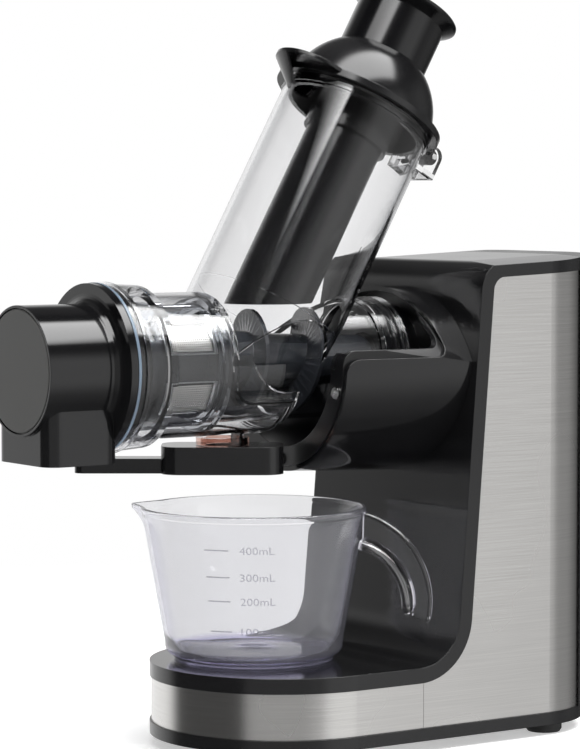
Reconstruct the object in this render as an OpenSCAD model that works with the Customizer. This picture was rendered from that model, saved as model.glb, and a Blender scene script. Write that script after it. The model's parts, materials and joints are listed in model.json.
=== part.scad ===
// Cold press juicer: a base with an upright motor tower, a horizontal clear
// juicing chamber that plugs into a dock on the tower, a wide slanted feed
// chute with a hinged lid and a pusher, and a jug that stands on the base.
// +X points to the tower, +Z up; the origin is under the middle of the whole
// object, on the surface that it stands on. Millimetres.

/* [Base and tower] */
// Width of the base and tower
base_w = 136; // [124:1:150]
// Rear face of the tower from the origin
rear_x = 160.6; // [158:0.2:176]
// Centre of the round front of the base
nose_x = -8.5; // [-20:0.5:0]
// Radius of the tower's rear corners, seen from above
rear_r = 45; // [20:1:55]
// Height of the rubber feet
foot_h = 5.5; // [4:0.5:8]
// Radius of a rubber foot
foot_r = 9.5; // [7:0.5:12]
// Height of the bottom cover above the feet
skirt_h = 6.5; // [5:0.5:9]
// Top of the deck that the jug stands on
deck_z = 43; // [38:1:50]
// Middle of the tower's top above the gearbox
tower_top = 248.8; // [244:0.2:262]
// Foot of the tower's front wall at deck level
front_x = 53.9; // [50:0.1:56]
// Backward lean of the tower's front wall, in degrees
lean = 4.6; // [2:0.1:6]
// Rise of the tower's top towards the rear, in degrees
top_slope = 2.5; // [0:0.1:4]
// Fillet between deck and tower
deck_fillet = 25; // [15:1:30]
// Rounding of the tower's top front corner
top_r = 15; // [12:1:22]
// Radius of the crowned top, across the tower
crown_r = 926; // [700:10:2000]
// Width of the plain border round the steel panels
border = 7.8; // [6:0.1:10]
// Depth of the border above the steel panels
panel_step = 1; // [0.6:0.1:1.5]
// Steel sheet thickness
sheet = 0.8; // [0.6:0.1:1]
// Housing wall
wall = 2.4; // [2:0.1:3]
// Seam between the front band and the side panels
band_seam_x = 33.3; // [20:0.1:40]
// Seam between the main housing and the rear cover
rear_seam_x = 142; // [138:0.5:144]

/* [Dock] */
// Height of the juicing axis
axis_z = 197; // [192:0.5:200]
// Front face of the dock
dock_x = -7.5; // [-9:0.5:-5]
// Radius of the dock at its front
dock_r = 57; // [56:0.5:58]
// Radius of the dock where it meets the tower
dock_root_r = 64.5; // [62:0.5:65]
// Rise of the dock's axis towards the tower, in degrees
dock_rise = 3.5; // [2:0.1:4]
// Radius of the dock's open cavity
dock_cavity_r = 44; // [43:0.5:45]
// Top of the dock's cut-away front
dock_cut_z = 200; // [199:0.5:202]
// Top of the hood between the dock and the tower
hood_top = 234.5; // [233:0.5:238]
// Radius of the hood's arch
hood_r = 74; // [72:0.5:78]
// Front face of the hood
hood_x = 52; // [51.5:0.5:54]
// Height of the liner's rim above the dock's outer shell
rim_h = 4.2; // [3:0.1:5]
// Thickness of the dock's walls
dock_wall = 2.6; // [2.4:0.1:3]

/* [Juicing chamber] */
// Clear wall of chamber and chute
clear_wall = 2.3; // [2:0.1:2.6]
// Front end of the chamber, against the pulp cap's flange
chamber_x = -118.5; // [-122:0.5:-116]
// Length of the wide front ring
ring_len = 22; // [18:0.5:24]
// Radius of the front ring
ring_r = 42; // [41:0.5:44]
// Outer radius of the barrel round the strainer
barrel_r = 36.5; // [36:0.1:38]
// Rear shoulder of the barrel
shoulder_x = -58; // [-59:0.5:-57]
// Rear end of the juice trough
trough_x = -13.5; // [-20:0.5:-12]
// Outer radius of the auger tube and neck
tube_r = 30; // [29.5:0.1:31]
// Rear end of the neck
neck_x = 50.5; // [48:0.5:51]
// Radius of the neck's end ring
neck_ring_r = 32; // [31:0.1:33]
// Place of the juice spout along the chamber
spout_x = -44.5; // [-46:0.5:-42]
// Outer radius of the juice spout
spout_r = 11; // [10:0.5:12]
// Lower end of the juice spout
spout_z = 144.5; // [143:0.5:146]

/* [Feed chute and lid] */
// Slant of the feed chute, in degrees
chute_tilt = 29.7; // [27:0.1:31]
// Where the chute's axis crosses the juicing axis
chute_x = -33.6; // [-36:0.1:-32]
// Outer radius of the feed chute
chute_r = 40.3; // [39:0.1:41.5]
// Joint between throat and chute, along the chute's axis
chute_start = 30; // [28:0.5:34]
// Length of chute and throat along the chute's axis
chute_len = 147; // [135:1:155]
// Lid flange radius
lid_r = 45.5; // [44.5:0.5:47]
// Lid flange thickness
lid_flange = 3.6; // [3:0.1:4.5]
// Height of the domed lid
lid_h = 31.5; // [26:0.5:36]
// Radius of the dome at its foot
dome_r = 39.6; // [38.5:0.1:41]
// Reach of the finger tab from the chute's axis
tab_reach = 58.6; // [57:0.2:60]
// Hinge pin radius
hinge_pin_r = 1.5; // [1.2:0.1:2]
// Hinge pin from the chute's axis
hinge_out = 48.4; // [47.5:0.1:50]
// Lid wall
lid_wall = 2.5; // [2:0.1:3]

/* [Pusher] */
// Radius of the pusher's rod
rod_r = 20.5; // [18:0.5:21]
// Height of the rod's level foot above the table
rod_foot_z = 226.7; // [226:0.1:240]
// Radius of the pusher's grip
grip_r = 23.9; // [21:0.1:25]
// Length of the pusher's grip
grip_len = 31.5; // [26:0.5:38]
// Radius of the grip's flared rim
grip_rim_r = 29.4; // [28:0.1:32]

/* [Pulp cap] */
// Front face of the pulp cap
cap_x = -163.2; // [-170:0.1:-158]
// Radius of the pulp cap's drum
cap_r = 32; // [31:0.5:34]
// Thickness of the cap's flange
cap_flange = 4; // [3:0.5:5]
// Width of the pulp outlet
outlet_w = 52; // [46:1:56]
// Lower edge of the pulp outlet
outlet_z = 151.5; // [151:0.5:153]
// Wall of the pulp cap
cap_wall = 2.5; // [2:0.1:3]

/* [Auger and strainer] */
// Radius of the auger's flight
flight_r = 27.1; // [26.5:0.1:27.2]
// Turns of the auger's flight
flight_turns = 4.5; // [3:0.5:6]
// Strainer frame outer radius
strainer_r = 31.2; // [31:0.1:32]
// Rows of holes along a strainer window
hole_rows = 9; // [6:1:10]
// Strainer hole radius
hole_r = 0.8; // [0.5:0.1:1]

/* [Drip lever] */
// Length of the lever's head
lever_w = 62; // [52:1:62]
// Width of the lever's head
lever_d = 34; // [30:1:36]
// Height of the lever's head
lever_h = 14; // [12:0.5:14]
// Reach of the lever's arm from its pivot
lever_reach = 75; // [66:1:78]
// Direction of the lever's arm at rest, in degrees from +X
lever_angle = 145.4; // [140:0.2:150]

/* [Jug] */
// Jug centre along the base
jug_x = -19; // [-22:0.5:-17]
// Jug centre across the base
jug_y = 9.5; // [6:0.1:9.5]
// Jug rim radius
jug_rim_r = 58.4; // [54:0.1:58.4]
// Jug foot radius
jug_foot_r = 45.3; // [42:0.1:48]
// Jug height
jug_h = 79; // [70:0.5:84]
// Jug wall
jug_wall = 2.2; // [1.8:0.1:2.6]
// Direction of the jug's handle, in degrees from +X
handle_angle = -48; // [-60:1:-46]

/* [Drive train] */
// Teeth on the motor pinion and on the two intermediate pinions
pinion_teeth = 14; // [14:1:14]
// Teeth on the first and second gear
gear_teeth = 50; // [50:1:50]
// Teeth on the output gear
output_teeth = 56; // [56:1:56]
// Module of the first stage
module_1 = 0.8; // [0.7:0.05:0.8]
// Module of the second stage
module_2 = 1; // [0.9:0.05:1]
// Module of the output stage
module_3 = 1.25; // [1.2:0.05:1.25]
// Front plate of the gearbox
gearbox_x = 72; // [71:0.5:73]
// Thickness of the gearbox plates
plate_t = 3; // [2.5:0.5:3]
// Output shaft radius
shaft_r = 6; // [5:0.5:6.5]
// Intermediate shaft radius
layshaft_r = 3; // [2.5:0.5:3.5]
// Motor can radius
motor_r = 30; // [27:0.5:32]
// Motor can length
motor_len = 40; // [34:1:42]
// Armature radius
armature_r = 18; // [15:0.5:20]

/* [Hidden] */
$fn = 96;
eps = 0.05;
slip = 0.06;     // radial clearance of a running fit
rest_gap = 0.3;  // gap between neighbours on different bodies
seat = 0.05;     // gap between neighbours on one body
far = 400;

half_w = base_w / 2;
skirt_z = foot_h + skirt_h;          // where the housing starts
panel_in = panel_step + sheet;       // inner face of the steel, from the border
shell_in = panel_in + seat + wall;   // inner face of the housing wall
crown_x = 100;                       // where tower_top is measured

// ---- shapes along X, about the juicing axis ----
module xcyl(x0, x1, r, z = axis_z, y = 0)
    translate([x0, y, z]) rotate([0, 90, 0]) cylinder(h = x1 - x0, r = r);
module xcone(x0, x1, r0, r1, z = axis_z)
    translate([x0, 0, z]) rotate([0, 90, 0]) cylinder(h = x1 - x0, r1 = r0, r2 = r1);
module xring(x0, x1, r_out, r_in, z = axis_z, y = 0)
    difference() {
        xcyl(x0, x1, r_out, z, y);
        xcyl(x0 - 1, x1 + 1, r_in, z, y);
    }
// a revolved profile: its points are [radius, x]
module xturn(points, z = axis_z, y = 0)
    translate([0, y, z]) rotate([0, 90, 0]) rotate_extrude() polygon(points);
// a profile in the XZ plane, extruded along Y
module yext(w, y = 0)
    translate([0, y, 0]) rotate([90, 0, 0]) linear_extrude(w, center = true) children();
// a box given by its low and high corners
module block(lo, hi) translate(lo) cube(hi - lo);

// ---- plan and side profile of the body, drawn back by i ----
module plan(i = 0) {
    translate([nose_x, 0]) circle(half_w - i);
    translate([nose_x, i - half_w]) square([rear_x - rear_r - nose_x, base_w - 2 * i]);
    translate([nose_x, rear_r - half_w]) square([rear_x - i - nose_x, base_w - 2 * rear_r]);
    for (s = [-1, 1])
        translate([rear_x - rear_r, s * (half_w - rear_r)]) circle(rear_r - i);
}

wall_in = [cos(lean), -sin(lean)];             // from the front wall into the tower
top_in = [sin(top_slope), -cos(top_slope)];    // from the top into the tower
front_0 = [front_x, deck_z];
top_0 = [crown_x, tower_top];
// centre of the fillet between deck and front wall
fillet_c = [front_x + deck_fillet * (sin(lean) - 1) / cos(lean), deck_z + deck_fillet];
// centre of the rounded top corner, top_r from the front wall and from the top
corner_det = wall_in.x * top_in.y - top_in.x * wall_in.y;
// the point that lies d inside both the front wall and the top
function corner_at(d) = [(d + front_0 * wall_in) * top_in.y - (d + top_0 * top_in) * wall_in.y,
                         wall_in.x * (d + top_0 * top_in) - top_in.x * (d + front_0 * wall_in)] / corner_det;
corner_c = corner_at(top_r);
function top_at(x) = tower_top + (x - crown_x) * tan(top_slope);
function front_at(z) = front_x + (z - deck_z) * tan(lean);
function wall_foot(i) = [front_x + i / cos(lean) - i * tan(lean), deck_z - i];

// an arc is this much larger than its tangent lines ask, so that it crosses them cleanly
graze = 0.005;
module side_profile(i = 0, z0 = 0) {
    foot = wall_foot(i);
    lap = 1;
    up = far / cos(lean);
    difference() {
        polygon([[-far, z0], [far, z0], [far, top_at(far) - i / cos(top_slope)],
                 [-far, top_at(-far) - i / cos(top_slope)]]);
        // the room over the deck, with a round corner at the foot of the front wall
        difference() {
            polygon([[-far - lap, deck_z - i], foot, foot + up * [sin(lean), cos(lean)], [-far - lap, far + up]]);
            difference() {
                polygon([[fillet_c.x, deck_z - i - lap], foot + [lap, -lap],
                         fillet_c + wall_in * (deck_fillet + i + lap), fillet_c]);
                translate(fillet_c) circle(deck_fillet + i + graze);
            }
        }
        // rounds the corner between front wall and top
        difference() {
            polygon([corner_c, corner_c - wall_in * top_r * 1.2, corner_at(-top_r), corner_c - top_in * top_r * 1.2]);
            translate(corner_c) circle(top_r - i + graze);
        }
    }
}

module crown(i = 0)
    translate([crown_x, 0, tower_top - crown_r]) rotate([0, -top_slope, 0])
        rotate([0, 90, 0]) cylinder(h = 2 * far, r = crown_r - i, center = true, $fn = 200);

// the closed outer form of base and tower, drawn back by i
module body_form(i = 0, z0 = 0) intersection() {
    yext(2 * far) side_profile(i, z0);
    linear_extrude(far) plan(i);
    crown(i);
}
// the skin between two insets, inside the border
module panel_form(i0, i1, edge) intersection() {
    difference() {
        linear_extrude(far) plan(i0);
        translate([0, 0, -1]) linear_extrude(far + 2) plan(i1);
    }
    yext(2 * far) side_profile(edge, skirt_z);
}

// ---- screws: a pan head and a shank, along +Z from the head's seat ----
module screw(r, h, head_r, head_h) {
    difference() {
        cylinder(h = head_h, r = head_r);
        translate([0, 0, -1]) cylinder(h = 1 + head_h / 2, r = r * 0.7, $fn = 6);
    }
    translate([0, 0, head_h - eps]) cylinder(h = h + eps, r = r);
}

// ================= base and housing =================
boss_r = 4.5;
pilot_r = 1.5;
screw_head_r = 3;
screw_head_h = 2.2;
nose_boss = (half_w - 15.2) * [0.606, 0.795];
base_bosses = [for (s = [-1, 1]) each [[nose_x - nose_boss.x, s * nose_boss.y], [42, s * (half_w - 18)],
                                       [98, s * (half_w - 14)]]];
feet_at = [for (s = [-1, 1]) each [[nose_x - 40, s * 22], [122.5, s * (half_w - 14)]]];
floor_t = 2.5;
vent_w = 3;

module bottom_cover() color("black") difference() {
    translate([0, 0, foot_h]) linear_extrude(skirt_h) plan(0);
    translate([0, 0, foot_h + floor_t]) linear_extrude(skirt_h) plan(wall + 0.2);
    for (p = base_bosses) translate([p.x, p.y, foot_h - 1]) {
        cylinder(h = floor_t + 2, r = pilot_r + 0.2);
        cylinder(h = floor_t, r = screw_head_r + 0.3);
    }
    for (p = feet_at) translate([p.x, p.y, foot_h - 1]) cylinder(h = floor_t + 2, r = 2.5);
    // air intake slots under the motor
    for (i = [-4:4]) translate([58, i * 2.4 * vent_w - vent_w / 2, foot_h - 1])
        cube([28, vent_w, floor_t + 2]);
}

// a foot has a push-in stem through the bottom cover
module rubber_feet() color("dimgray") for (p = feet_at) translate([p.x, p.y, 0]) {
    cylinder(h = 1.5, r1 = foot_r - 1, r2 = foot_r);
    translate([0, 0, 1.5]) cylinder(h = foot_h - 1.5, r = foot_r);
    translate([0, 0, foot_h - eps]) cylinder(h = floor_t + 2 * eps, r = 2.5 - seat);
    translate([0, 0, foot_h + floor_t + eps]) cylinder(h = 1.5, r1 = 3.2, r2 = 2);
}

module base_screws() color("silver") for (p = base_bosses)
    translate([p.x, p.y, foot_h + 0.1]) screw(pilot_r - seat, 10, screw_head_r, floor_t - 1.1);

module front_band() color("silver") intersection() {
    panel_form(panel_step, panel_in, border + 0.15);
    block([-far, -far, skirt_z + 0.1], [band_seam_x - 0.1, far, far]);
}

module side_panel(s) color("silver") intersection() {
    panel_form(panel_step, panel_in, border + 0.15);
    block([band_seam_x + 0.1, s > 0 ? 0 : -far, skirt_z + 0.1],
          [rear_seam_x - 0.1, s > 0 ? far : 0, far]);
}
module side_panel_near() side_panel(-1);
module side_panel_far() side_panel(1);

hub_r = 20;            // the dock's hub in the tower's front wall
mount_ys = [-33, 33];
mount_zs = [axis_z - 27, 88];    // gearbox mounting bosses

module main_housing() color("#141414") difference() {
    union() {
        difference() {
            body_form(0, skirt_z);
            block([rear_seam_x, -far, -1], [far, far, far]);
            body_form(shell_in, -1);
            // seats of the steel panels
            panel_form(-1, panel_in + seat, border);
        }
        // screw bosses under the deck, in the tower and for the rear cover
        intersection() {
            union() {
                for (p = base_bosses) translate([p.x, p.y, foot_h + floor_t + seat])
                    cylinder(h = p.x < front_x ? far : 22, r = boss_r);
                for (s = [-1, 1]) block([95, s > 0 ? half_w - 14 : -far, foot_h + floor_t + 4],
                                        [101, s > 0 ? far : 14 - half_w, 30]);
                for (p = rear_screw_at) {
                    xcyl(rear_seam_x - 14, rear_seam_x - seat, boss_r, p[1], p[0]);
                    block([rear_seam_x - 14, p[0] > 0 ? p[0] : -far, p[1] - 3],
                          [rear_seam_x - seat, p[0] > 0 ? far : p[0], p[1] + 3]);
                }
                for (y = mount_ys, z = mount_zs) xcyl(0, gearbox_x - seat, boss_r, z, y);
            }
            body_form(panel_in + 1.2, 0);
        }
    }
    for (p = base_bosses) translate([p.x, p.y, 0]) cylinder(h = 20, r = pilot_r);
    for (y = mount_ys, z = mount_zs) xcyl(gearbox_x - 7, gearbox_x + 1, pilot_r, z, y);
    for (p = rear_screw_at) xcyl(rear_seam_x - 12, rear_seam_x + 1, pilot_r, p[1], p[0]);
    xcyl(front_x, gearbox_x + 4, hub_r + seat);
    // screw holes of the dock
    for (a = dock_screw_angles) rotate_about_axis(a)
        xcyl(front_x - 10, gearbox_x, pilot_r, axis_z - dock_screw_pcr);
}

// rear cover: shell behind the seam, louvres, switch cut-out and cord inlet
louvre_zs = [for (i = [0:8]) 118 + 11 * i];
louvre_y = 30;
switch_z = 50;
switch_w = 15;
switch_h = 24;
inlet_z = 24;
inlet_r = 6;
rear_screw_y = half_w - 21;
rear_screw_at = [for (z = [215, 32]) each [[rear_screw_y, z], [-rear_screw_y, z]]];

module rear_cover() color("#1a1a1a") difference() {
    union() {
        difference() {
            body_form(0, skirt_z);
            body_form(wall, skirt_z - 1);
        }
        intersection() {
            for (p = rear_screw_at) xcyl(rear_seam_x, far, boss_r + 1, p[1], p[0]);
            body_form(1, skirt_z);
        }
    }
    block([-far, -far, -1], [rear_seam_x, far, far]);
    for (z = louvre_zs) block([rear_x - 20, -louvre_y, z], [rear_x + 1, louvre_y, z + 4]);
    block([rear_x - 10, -switch_w / 2, switch_z - switch_h / 2],
          [rear_x + 1, switch_w / 2, switch_z + switch_h / 2]);
    xcyl(rear_x - 10, rear_x + 1, inlet_r, inlet_z);
    for (p = rear_screw_at) {
        xcyl(rear_seam_x - 1, far, pilot_r + 0.2, p[1], p[0]);
        xcyl(rear_seam_x + 4, far, screw_head_r + 0.3, p[1], p[0]);
    }
}
module rear_screws() color("silver") for (p = rear_screw_at)
    translate([rear_seam_x + 4 + screw_head_h, p[0], p[1]]) rotate([0, -90, 0])
        screw(pilot_r - seat, 14, screw_head_r, screw_head_h);

// ================= dock =================
dock_screw_angles = [0, 74, -74];
dock_screw_pcr = 50.5;
dock_flare = (dock_root_r - dock_r) / 73.5;
dock_floor_x = 60;
liner_x = dock_x - 0.6;
rim_w = 3.2;
spigot_r = tube_r - clear_wall - slip;
spigot_x = 42;
module rotate_about_axis(a)
    translate([0, 0, axis_z]) rotate([a, 0, 0]) translate([0, 0, -axis_z]) children();

// outer form of dock and hood, drawn in by i
module dock_form(i = 0) intersection() {
    translate([dock_x, 0, axis_z]) rotate([0, 90 - dock_rise, 0]) translate([0, 0, -20])
        cylinder(h = 110, r1 = dock_r - i - 20 * dock_flare, r2 = dock_r - i + 90 * dock_flare);
    xcyl(-60, gearbox_x - 1, hood_r - i, hood_top - hood_r);
}
// side view: low at the front with a rounded corner, full height at the hood
module dock_side(x, top, hood) {
    translate([x + 8, 0]) square([far, top]);
    translate([x, 0]) square([far, top - 8]);
    translate([x + 8, top - 8]) circle(8);
    translate([hood, 0]) square([far, far]);
    difference() {
        translate([hood - 6, top - 1]) square(7);
        translate([hood - 6, top + 6]) circle(6);
    }
}
module dock_drum() color("#101010") difference() {
    intersection() {
        dock_form();
        yext(2 * far) dock_side(dock_x, dock_cut_z, hood_x);
    }
    dock_form(dock_wall);
    tower_front(seat);
}
module dock_liner() color("#181818") difference() {
    union() {
        difference() {
            intersection() {
                dock_form(dock_wall + seat);
                yext(2 * far) dock_side(liner_x, dock_cut_z + rim_h, hood_x - 0.6);
            }
            // open cavity for the chamber's throat and neck
            xcyl(dock_x - 5, dock_floor_x, dock_cavity_r);
            intersection() {
                dock_form(dock_wall + rim_w);
                block([dock_x + 3, -far, dock_cut_z], [dock_floor_x, far, far]);
            }
            // hollow between cavity and shell
            difference() {
                intersection() {
                    dock_form(2 * dock_wall + seat);
                    block([dock_x + 3, -far, 0], [far, far, dock_cut_z - dock_wall]);
                }
                xcyl(dock_x, gearbox_x, dock_cavity_r + dock_wall);
            }
            tower_front(seat);
        }
        // spigot that carries the chamber's neck, and hub in the tower's wall
        xcyl(spigot_x, dock_floor_x + 4, spigot_r);
        xcyl(dock_floor_x, gearbox_x - 1, hub_r);
        // screw bosses
        intersection() {
            for (a = dock_screw_angles) rotate_about_axis(a)
                xcyl(dock_x + 1, 80, 4, axis_z - dock_screw_pcr);
            difference() {
                dock_form(dock_wall + seat);
                tower_front(seat);
            }
        }
    }
    xcyl(spigot_x - 1, gearbox_x, shaft_r + 1);
    xcyl(spigot_x - 1, spigot_x + 7, seal_r);
    for (x = neck_seal_xs) xring(x - 1.2, x + 1.2, spigot_r + 1, spigot_r - 2.35);
    for (a = dock_screw_angles) rotate_about_axis(a) {
        xcyl(dock_x - 5, 80, pilot_r, axis_z - dock_screw_pcr);
        xcyl(dock_x - 5, liner_x + 1.2, screw_head_r + 0.3, axis_z - dock_screw_pcr);
    }
}
// everything behind the tower's front wall, but for the hub's hole
module tower_front(gap = 0) difference() {
    translate([front_at(axis_z), 0, axis_z]) rotate([0, 90 + lean, 0])
        translate([0, 0, -gap]) cylinder(h = 60, r = 2 * dock_root_r);
    xcyl(front_x, gearbox_x + 60, hub_r);
}

module dock_screws() color("silver") for (a = dock_screw_angles) rotate_about_axis(a)
    translate([liner_x + 1.2 - screw_head_h + seat, 0, axis_z - dock_screw_pcr])
        rotate([0, 90, 0]) screw(pilot_r - seat, 75, screw_head_r, screw_head_h - seat);

// lip seal round the shaft and two rings round the spigot
seal_r = 13;
neck_seal_xs = [45.4, 48.9];
module dock_seals() color("#5a2a1a") {
    xring(spigot_x + 1, spigot_x + 7 - seat, seal_r - seat, shaft_r + rest_gap);
    for (x = neck_seal_xs) translate([x, 0, axis_z]) rotate([0, 90, 0])
        rotate_extrude() translate([spigot_r - 1.17, 0]) circle(1.15, $fn = 32);
}

// ================= gearbox =================
c1 = module_1 * (pinion_teeth + gear_teeth) / 2;
c2 = module_2 * (pinion_teeth + gear_teeth) / 2;
c3 = module_3 * (pinion_teeth + output_teeth) / 2;
lay2_z = axis_z - c3;
lay1_z = lay2_z - c2;
motor_z = lay1_z - c1;
gap_x = 1.5;
stage3_x = gearbox_x + plate_t + 1;
stage3_w = 10;
stage2_x = stage3_x + stage3_w + gap_x;
stage2_w = 8;
stage1_x = stage2_x + stage2_w + gap_x;
stage1_w = 6;
rear_plate_x = stage1_x + stage1_w + gap_x;
motor_x = rear_plate_x + plate_t;
bush_wall = 2;
plate_w = 76;
plate_lo = motor_z - motor_r - 2;
post_at = [[-33, motor_z - 20], [33, motor_z - 20], [-33, lay2_z + 2], [33, lay2_z + 2]];
post_r = 3.5;

// holes for the shafts: [height, radius of the shaft]
shaft_at = [[axis_z, shaft_r], [lay2_z, layshaft_r], [lay1_z, layshaft_r]];

module gearbox_plate(x) difference() {
    union() {
        block([x, -plate_w / 2, plate_lo], [x + plate_t, plate_w / 2, axis_z - 21]);
        xcyl(x, x + plate_t, 16);
        block([x, -16, lay2_z], [x + plate_t, 16, axis_z]);
    }
    for (s = shaft_at) xcyl(x - 1, x + plate_t + 1, s[1] + bush_wall + slip, s[0]);
    for (p = post_at) xcyl(x - 1, x + plate_t + 1, pilot_r + 0.1, p[1], p[0]);
}

module gearbox_front_plate() color("gray") difference() {
    gearbox_plate(gearbox_x);
    for (y = mount_ys, z = mount_zs) xcyl(gearbox_x - 1, gearbox_x + plate_t + 1, pilot_r + 0.1, z, y);
}
module gearbox_rear_plate() color("gray") difference() {
    gearbox_plate(rear_plate_x);
    xcyl(rear_plate_x - 1, motor_x + 1, 9, motor_z);
}
module gearbox_posts() color("darkgray") for (p = post_at) difference() {
    xcyl(gearbox_x + plate_t + seat, rear_plate_x - seat, post_r, p[1], p[0]);
    xcyl(gearbox_x, rear_plate_x + 1, pilot_r, p[1], p[0]);
}
module gearbox_screws() color("silver") {
    for (y = mount_ys, z = mount_zs) translate([gearbox_x + plate_t + screw_head_h + seat, y, z])
        rotate([0, -90, 0]) screw(pilot_r - seat, plate_t + 6, 2.6, screw_head_h);
    for (p = post_at) {
        translate([gearbox_x - screw_head_h - seat, p[0], p[1]])
            rotate([0, 90, 0]) screw(pilot_r - seat, plate_t + 9, 2.6, screw_head_h);
        translate([motor_x + screw_head_h + seat, p[0], p[1]])
            rotate([0, -90, 0]) screw(pilot_r - seat, plate_t + 9, 2.6, screw_head_h);
    }
}
module shaft_bushes() color("#b08d57") for (x = [gearbox_x, rear_plate_x], s = shaft_at)
    xring(x + 0.2, x + plate_t - 0.2, s[1] + bush_wall, s[1] + slip, s[0]);

// ---- gears: true involute flanks, four points on each ----
pressure = 20;
addendum = 0.85;
dedendum = 1.15;
function involute(rb, t) = rb * [cos(t) + t * PI / 180 * sin(t), sin(t) - t * PI / 180 * cos(t)];
function inv_angle(rb, r) = sqrt(max(0, pow(r / rb, 2) - 1)) * 180 / PI;
function polar_of(v) = atan2(v.y, v.x);
// half the angle that a tooth takes up at radius r
function half_tooth(r, rb, rp, teeth, play) =
    90 / teeth - play + polar_of(involute(rb, inv_angle(rb, rp)))
    - polar_of(involute(rb, inv_angle(rb, max(r, rb))));
module gear_2d(teeth, m) {
    rp = m * teeth / 2;
    rb = rp * cos(pressure);
    ra = rp + addendum * m;
    rf = rp - dedendum * m;
    play = 0.06 / rp * 180 / PI;
    steps = [rf, max(rb, rf + 0.01), (max(rb, rf) + ra) / 2, ra];
    polygon([for (k = [0:teeth - 1]) each concat(
        [for (r = steps) let (a = k * 360 / teeth - half_tooth(r, rb, rp, teeth, play))
            r * [cos(a), sin(a)]],
        [for (j = [len(steps) - 1:-1:0]) let (r = steps[j],
            a = k * 360 / teeth + half_tooth(r, rb, rp, teeth, play)) r * [cos(a), sin(a)]])]);
}
// a spur gear along X; turn is the angle that brings it into mesh
module spur(x, w, z, teeth, m, bore, turn = 0)
    translate([x, 0, z]) rotate([0, 90, 0]) difference() {
        rotate([0, 0, turn]) linear_extrude(w) gear_2d(teeth, m);
        translate([0, 0, -1]) cylinder(h = w + 2, r = bore);
    }
// ring of lightening holes
module webbed(x, w, z, r, hole, count = 6) difference() {
    children();
    for (k = [1:count]) translate([x - 1, 0, z]) rotate([0, 90, 0])
        rotate([0, 0, k * 360 / count]) translate([r, 0, 0]) cylinder(h = w + 2, r = hole);
}

half_pitch = 180 / gear_teeth;
module output_gear() color("ivory")
    webbed(stage3_x, stage3_w, axis_z, 20, 6)
        spur(stage3_x, stage3_w, axis_z, output_teeth, module_3, shaft_r + seat, 180 / output_teeth);
module third_pinion() color("silver")
    spur(stage3_x + 0.2, stage3_w - 0.2, lay2_z, pinion_teeth, module_3, layshaft_r + seat);
module second_gear() color("ivory")
    webbed(stage2_x, stage2_w, lay2_z, 14.5, 4)
        spur(stage2_x, stage2_w, lay2_z, gear_teeth, module_2, layshaft_r + seat, half_pitch);
module second_pinion() color("silver")
    spur(stage2_x, stage2_w, lay1_z, pinion_teeth, module_2, layshaft_r + seat);
module first_gear() color("ivory")
    webbed(stage1_x, stage1_w, lay1_z, 11.5, 3)
        spur(stage1_x, stage1_w, lay1_z, gear_teeth, module_1, layshaft_r + seat, half_pitch);
module motor_pinion() color("silver")
    spur(stage1_x, stage1_w, motor_z, pinion_teeth, module_1, rotor_r + seat);

hex_r = 7;      // corner radius of the drive hexagon
hex_x = 26;
module output_shaft() color("silver") {
    translate([hex_x, 0, axis_z]) rotate([0, 90, 0]) cylinder(h = spigot_x - hex_x, r = hex_r - 0.2, $fn = 6);
    xcyl(spigot_x - eps, motor_x - 0.3, shaft_r);
}
module second_shaft() color("silver") xcyl(gearbox_x + 0.3, motor_x - 0.3, layshaft_r, lay2_z);
module first_shaft() color("silver") xcyl(gearbox_x + 0.3, motor_x - 0.3, layshaft_r, lay1_z);

// ================= motor =================
rotor_r = 2.5;
can_wall = 1.8;
motor_end = motor_x + motor_len;
module motor_can() color("#555555") difference() {
    xcyl(motor_x + seat, motor_end, motor_r, motor_z);
    xcyl(motor_x + 2.5, motor_end + 1, motor_r - can_wall, motor_z);
    xcyl(motor_x - 1, motor_x + 4, rotor_r + slip, motor_z);
}
module motor_magnets() color("#333333") intersection() {
    xring(motor_x + 6, motor_end - 12, motor_r - can_wall - seat, armature_r + 0.8, motor_z);
    for (s = [-1, 1]) block([motor_x, s > 0 ? 9 : -motor_r, motor_z - 21],
                            [motor_end, s > 0 ? motor_r : -9, motor_z + 21]);
}
module motor_end_cap() color("black") difference() {
    union() {
        xcyl(motor_end + seat, motor_end + 3, motor_r, motor_z);
        xring(motor_end - 4, motor_end + 1, motor_r - can_wall - seat, motor_r - can_wall - 3, motor_z);
        for (s = [-1, 1]) block([motor_end - 9, s > 0 ? 11 : -22, motor_z - 4],
                                [motor_end + 1, s > 0 ? 22 : -11, motor_z + 4]);
    }
    xcyl(motor_end - 1, motor_end + 4, rotor_r + slip, motor_z);
    for (s = [-1, 1]) block([motor_end - 8, s > 0 ? 9 : -20, motor_z - 2.5],
                            [motor_end - 2, s > 0 ? 20 : -9, motor_z + 2.5]);
    for (k = [0:5]) translate([motor_end - 1, 0, motor_z]) rotate([k * 60 + 30, 0, 0])
        translate([0, 0, 20]) rotate([0, 90, 0]) cylinder(h = 6, r = 4);
}
comm_r = 8;
module carbon_brushes() color("#222222") for (s = [-1, 1])
    block([motor_end - 7.8, s > 0 ? comm_r + 0.1 : -18, motor_z - 2.4],
          [motor_end - 2.2, s > 0 ? 18 : -comm_r - 0.1, motor_z + 2.4]);
module rotor_shaft() color("silver") xcyl(stage1_x - 1, motor_end + 10, rotor_r, motor_z);
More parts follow.
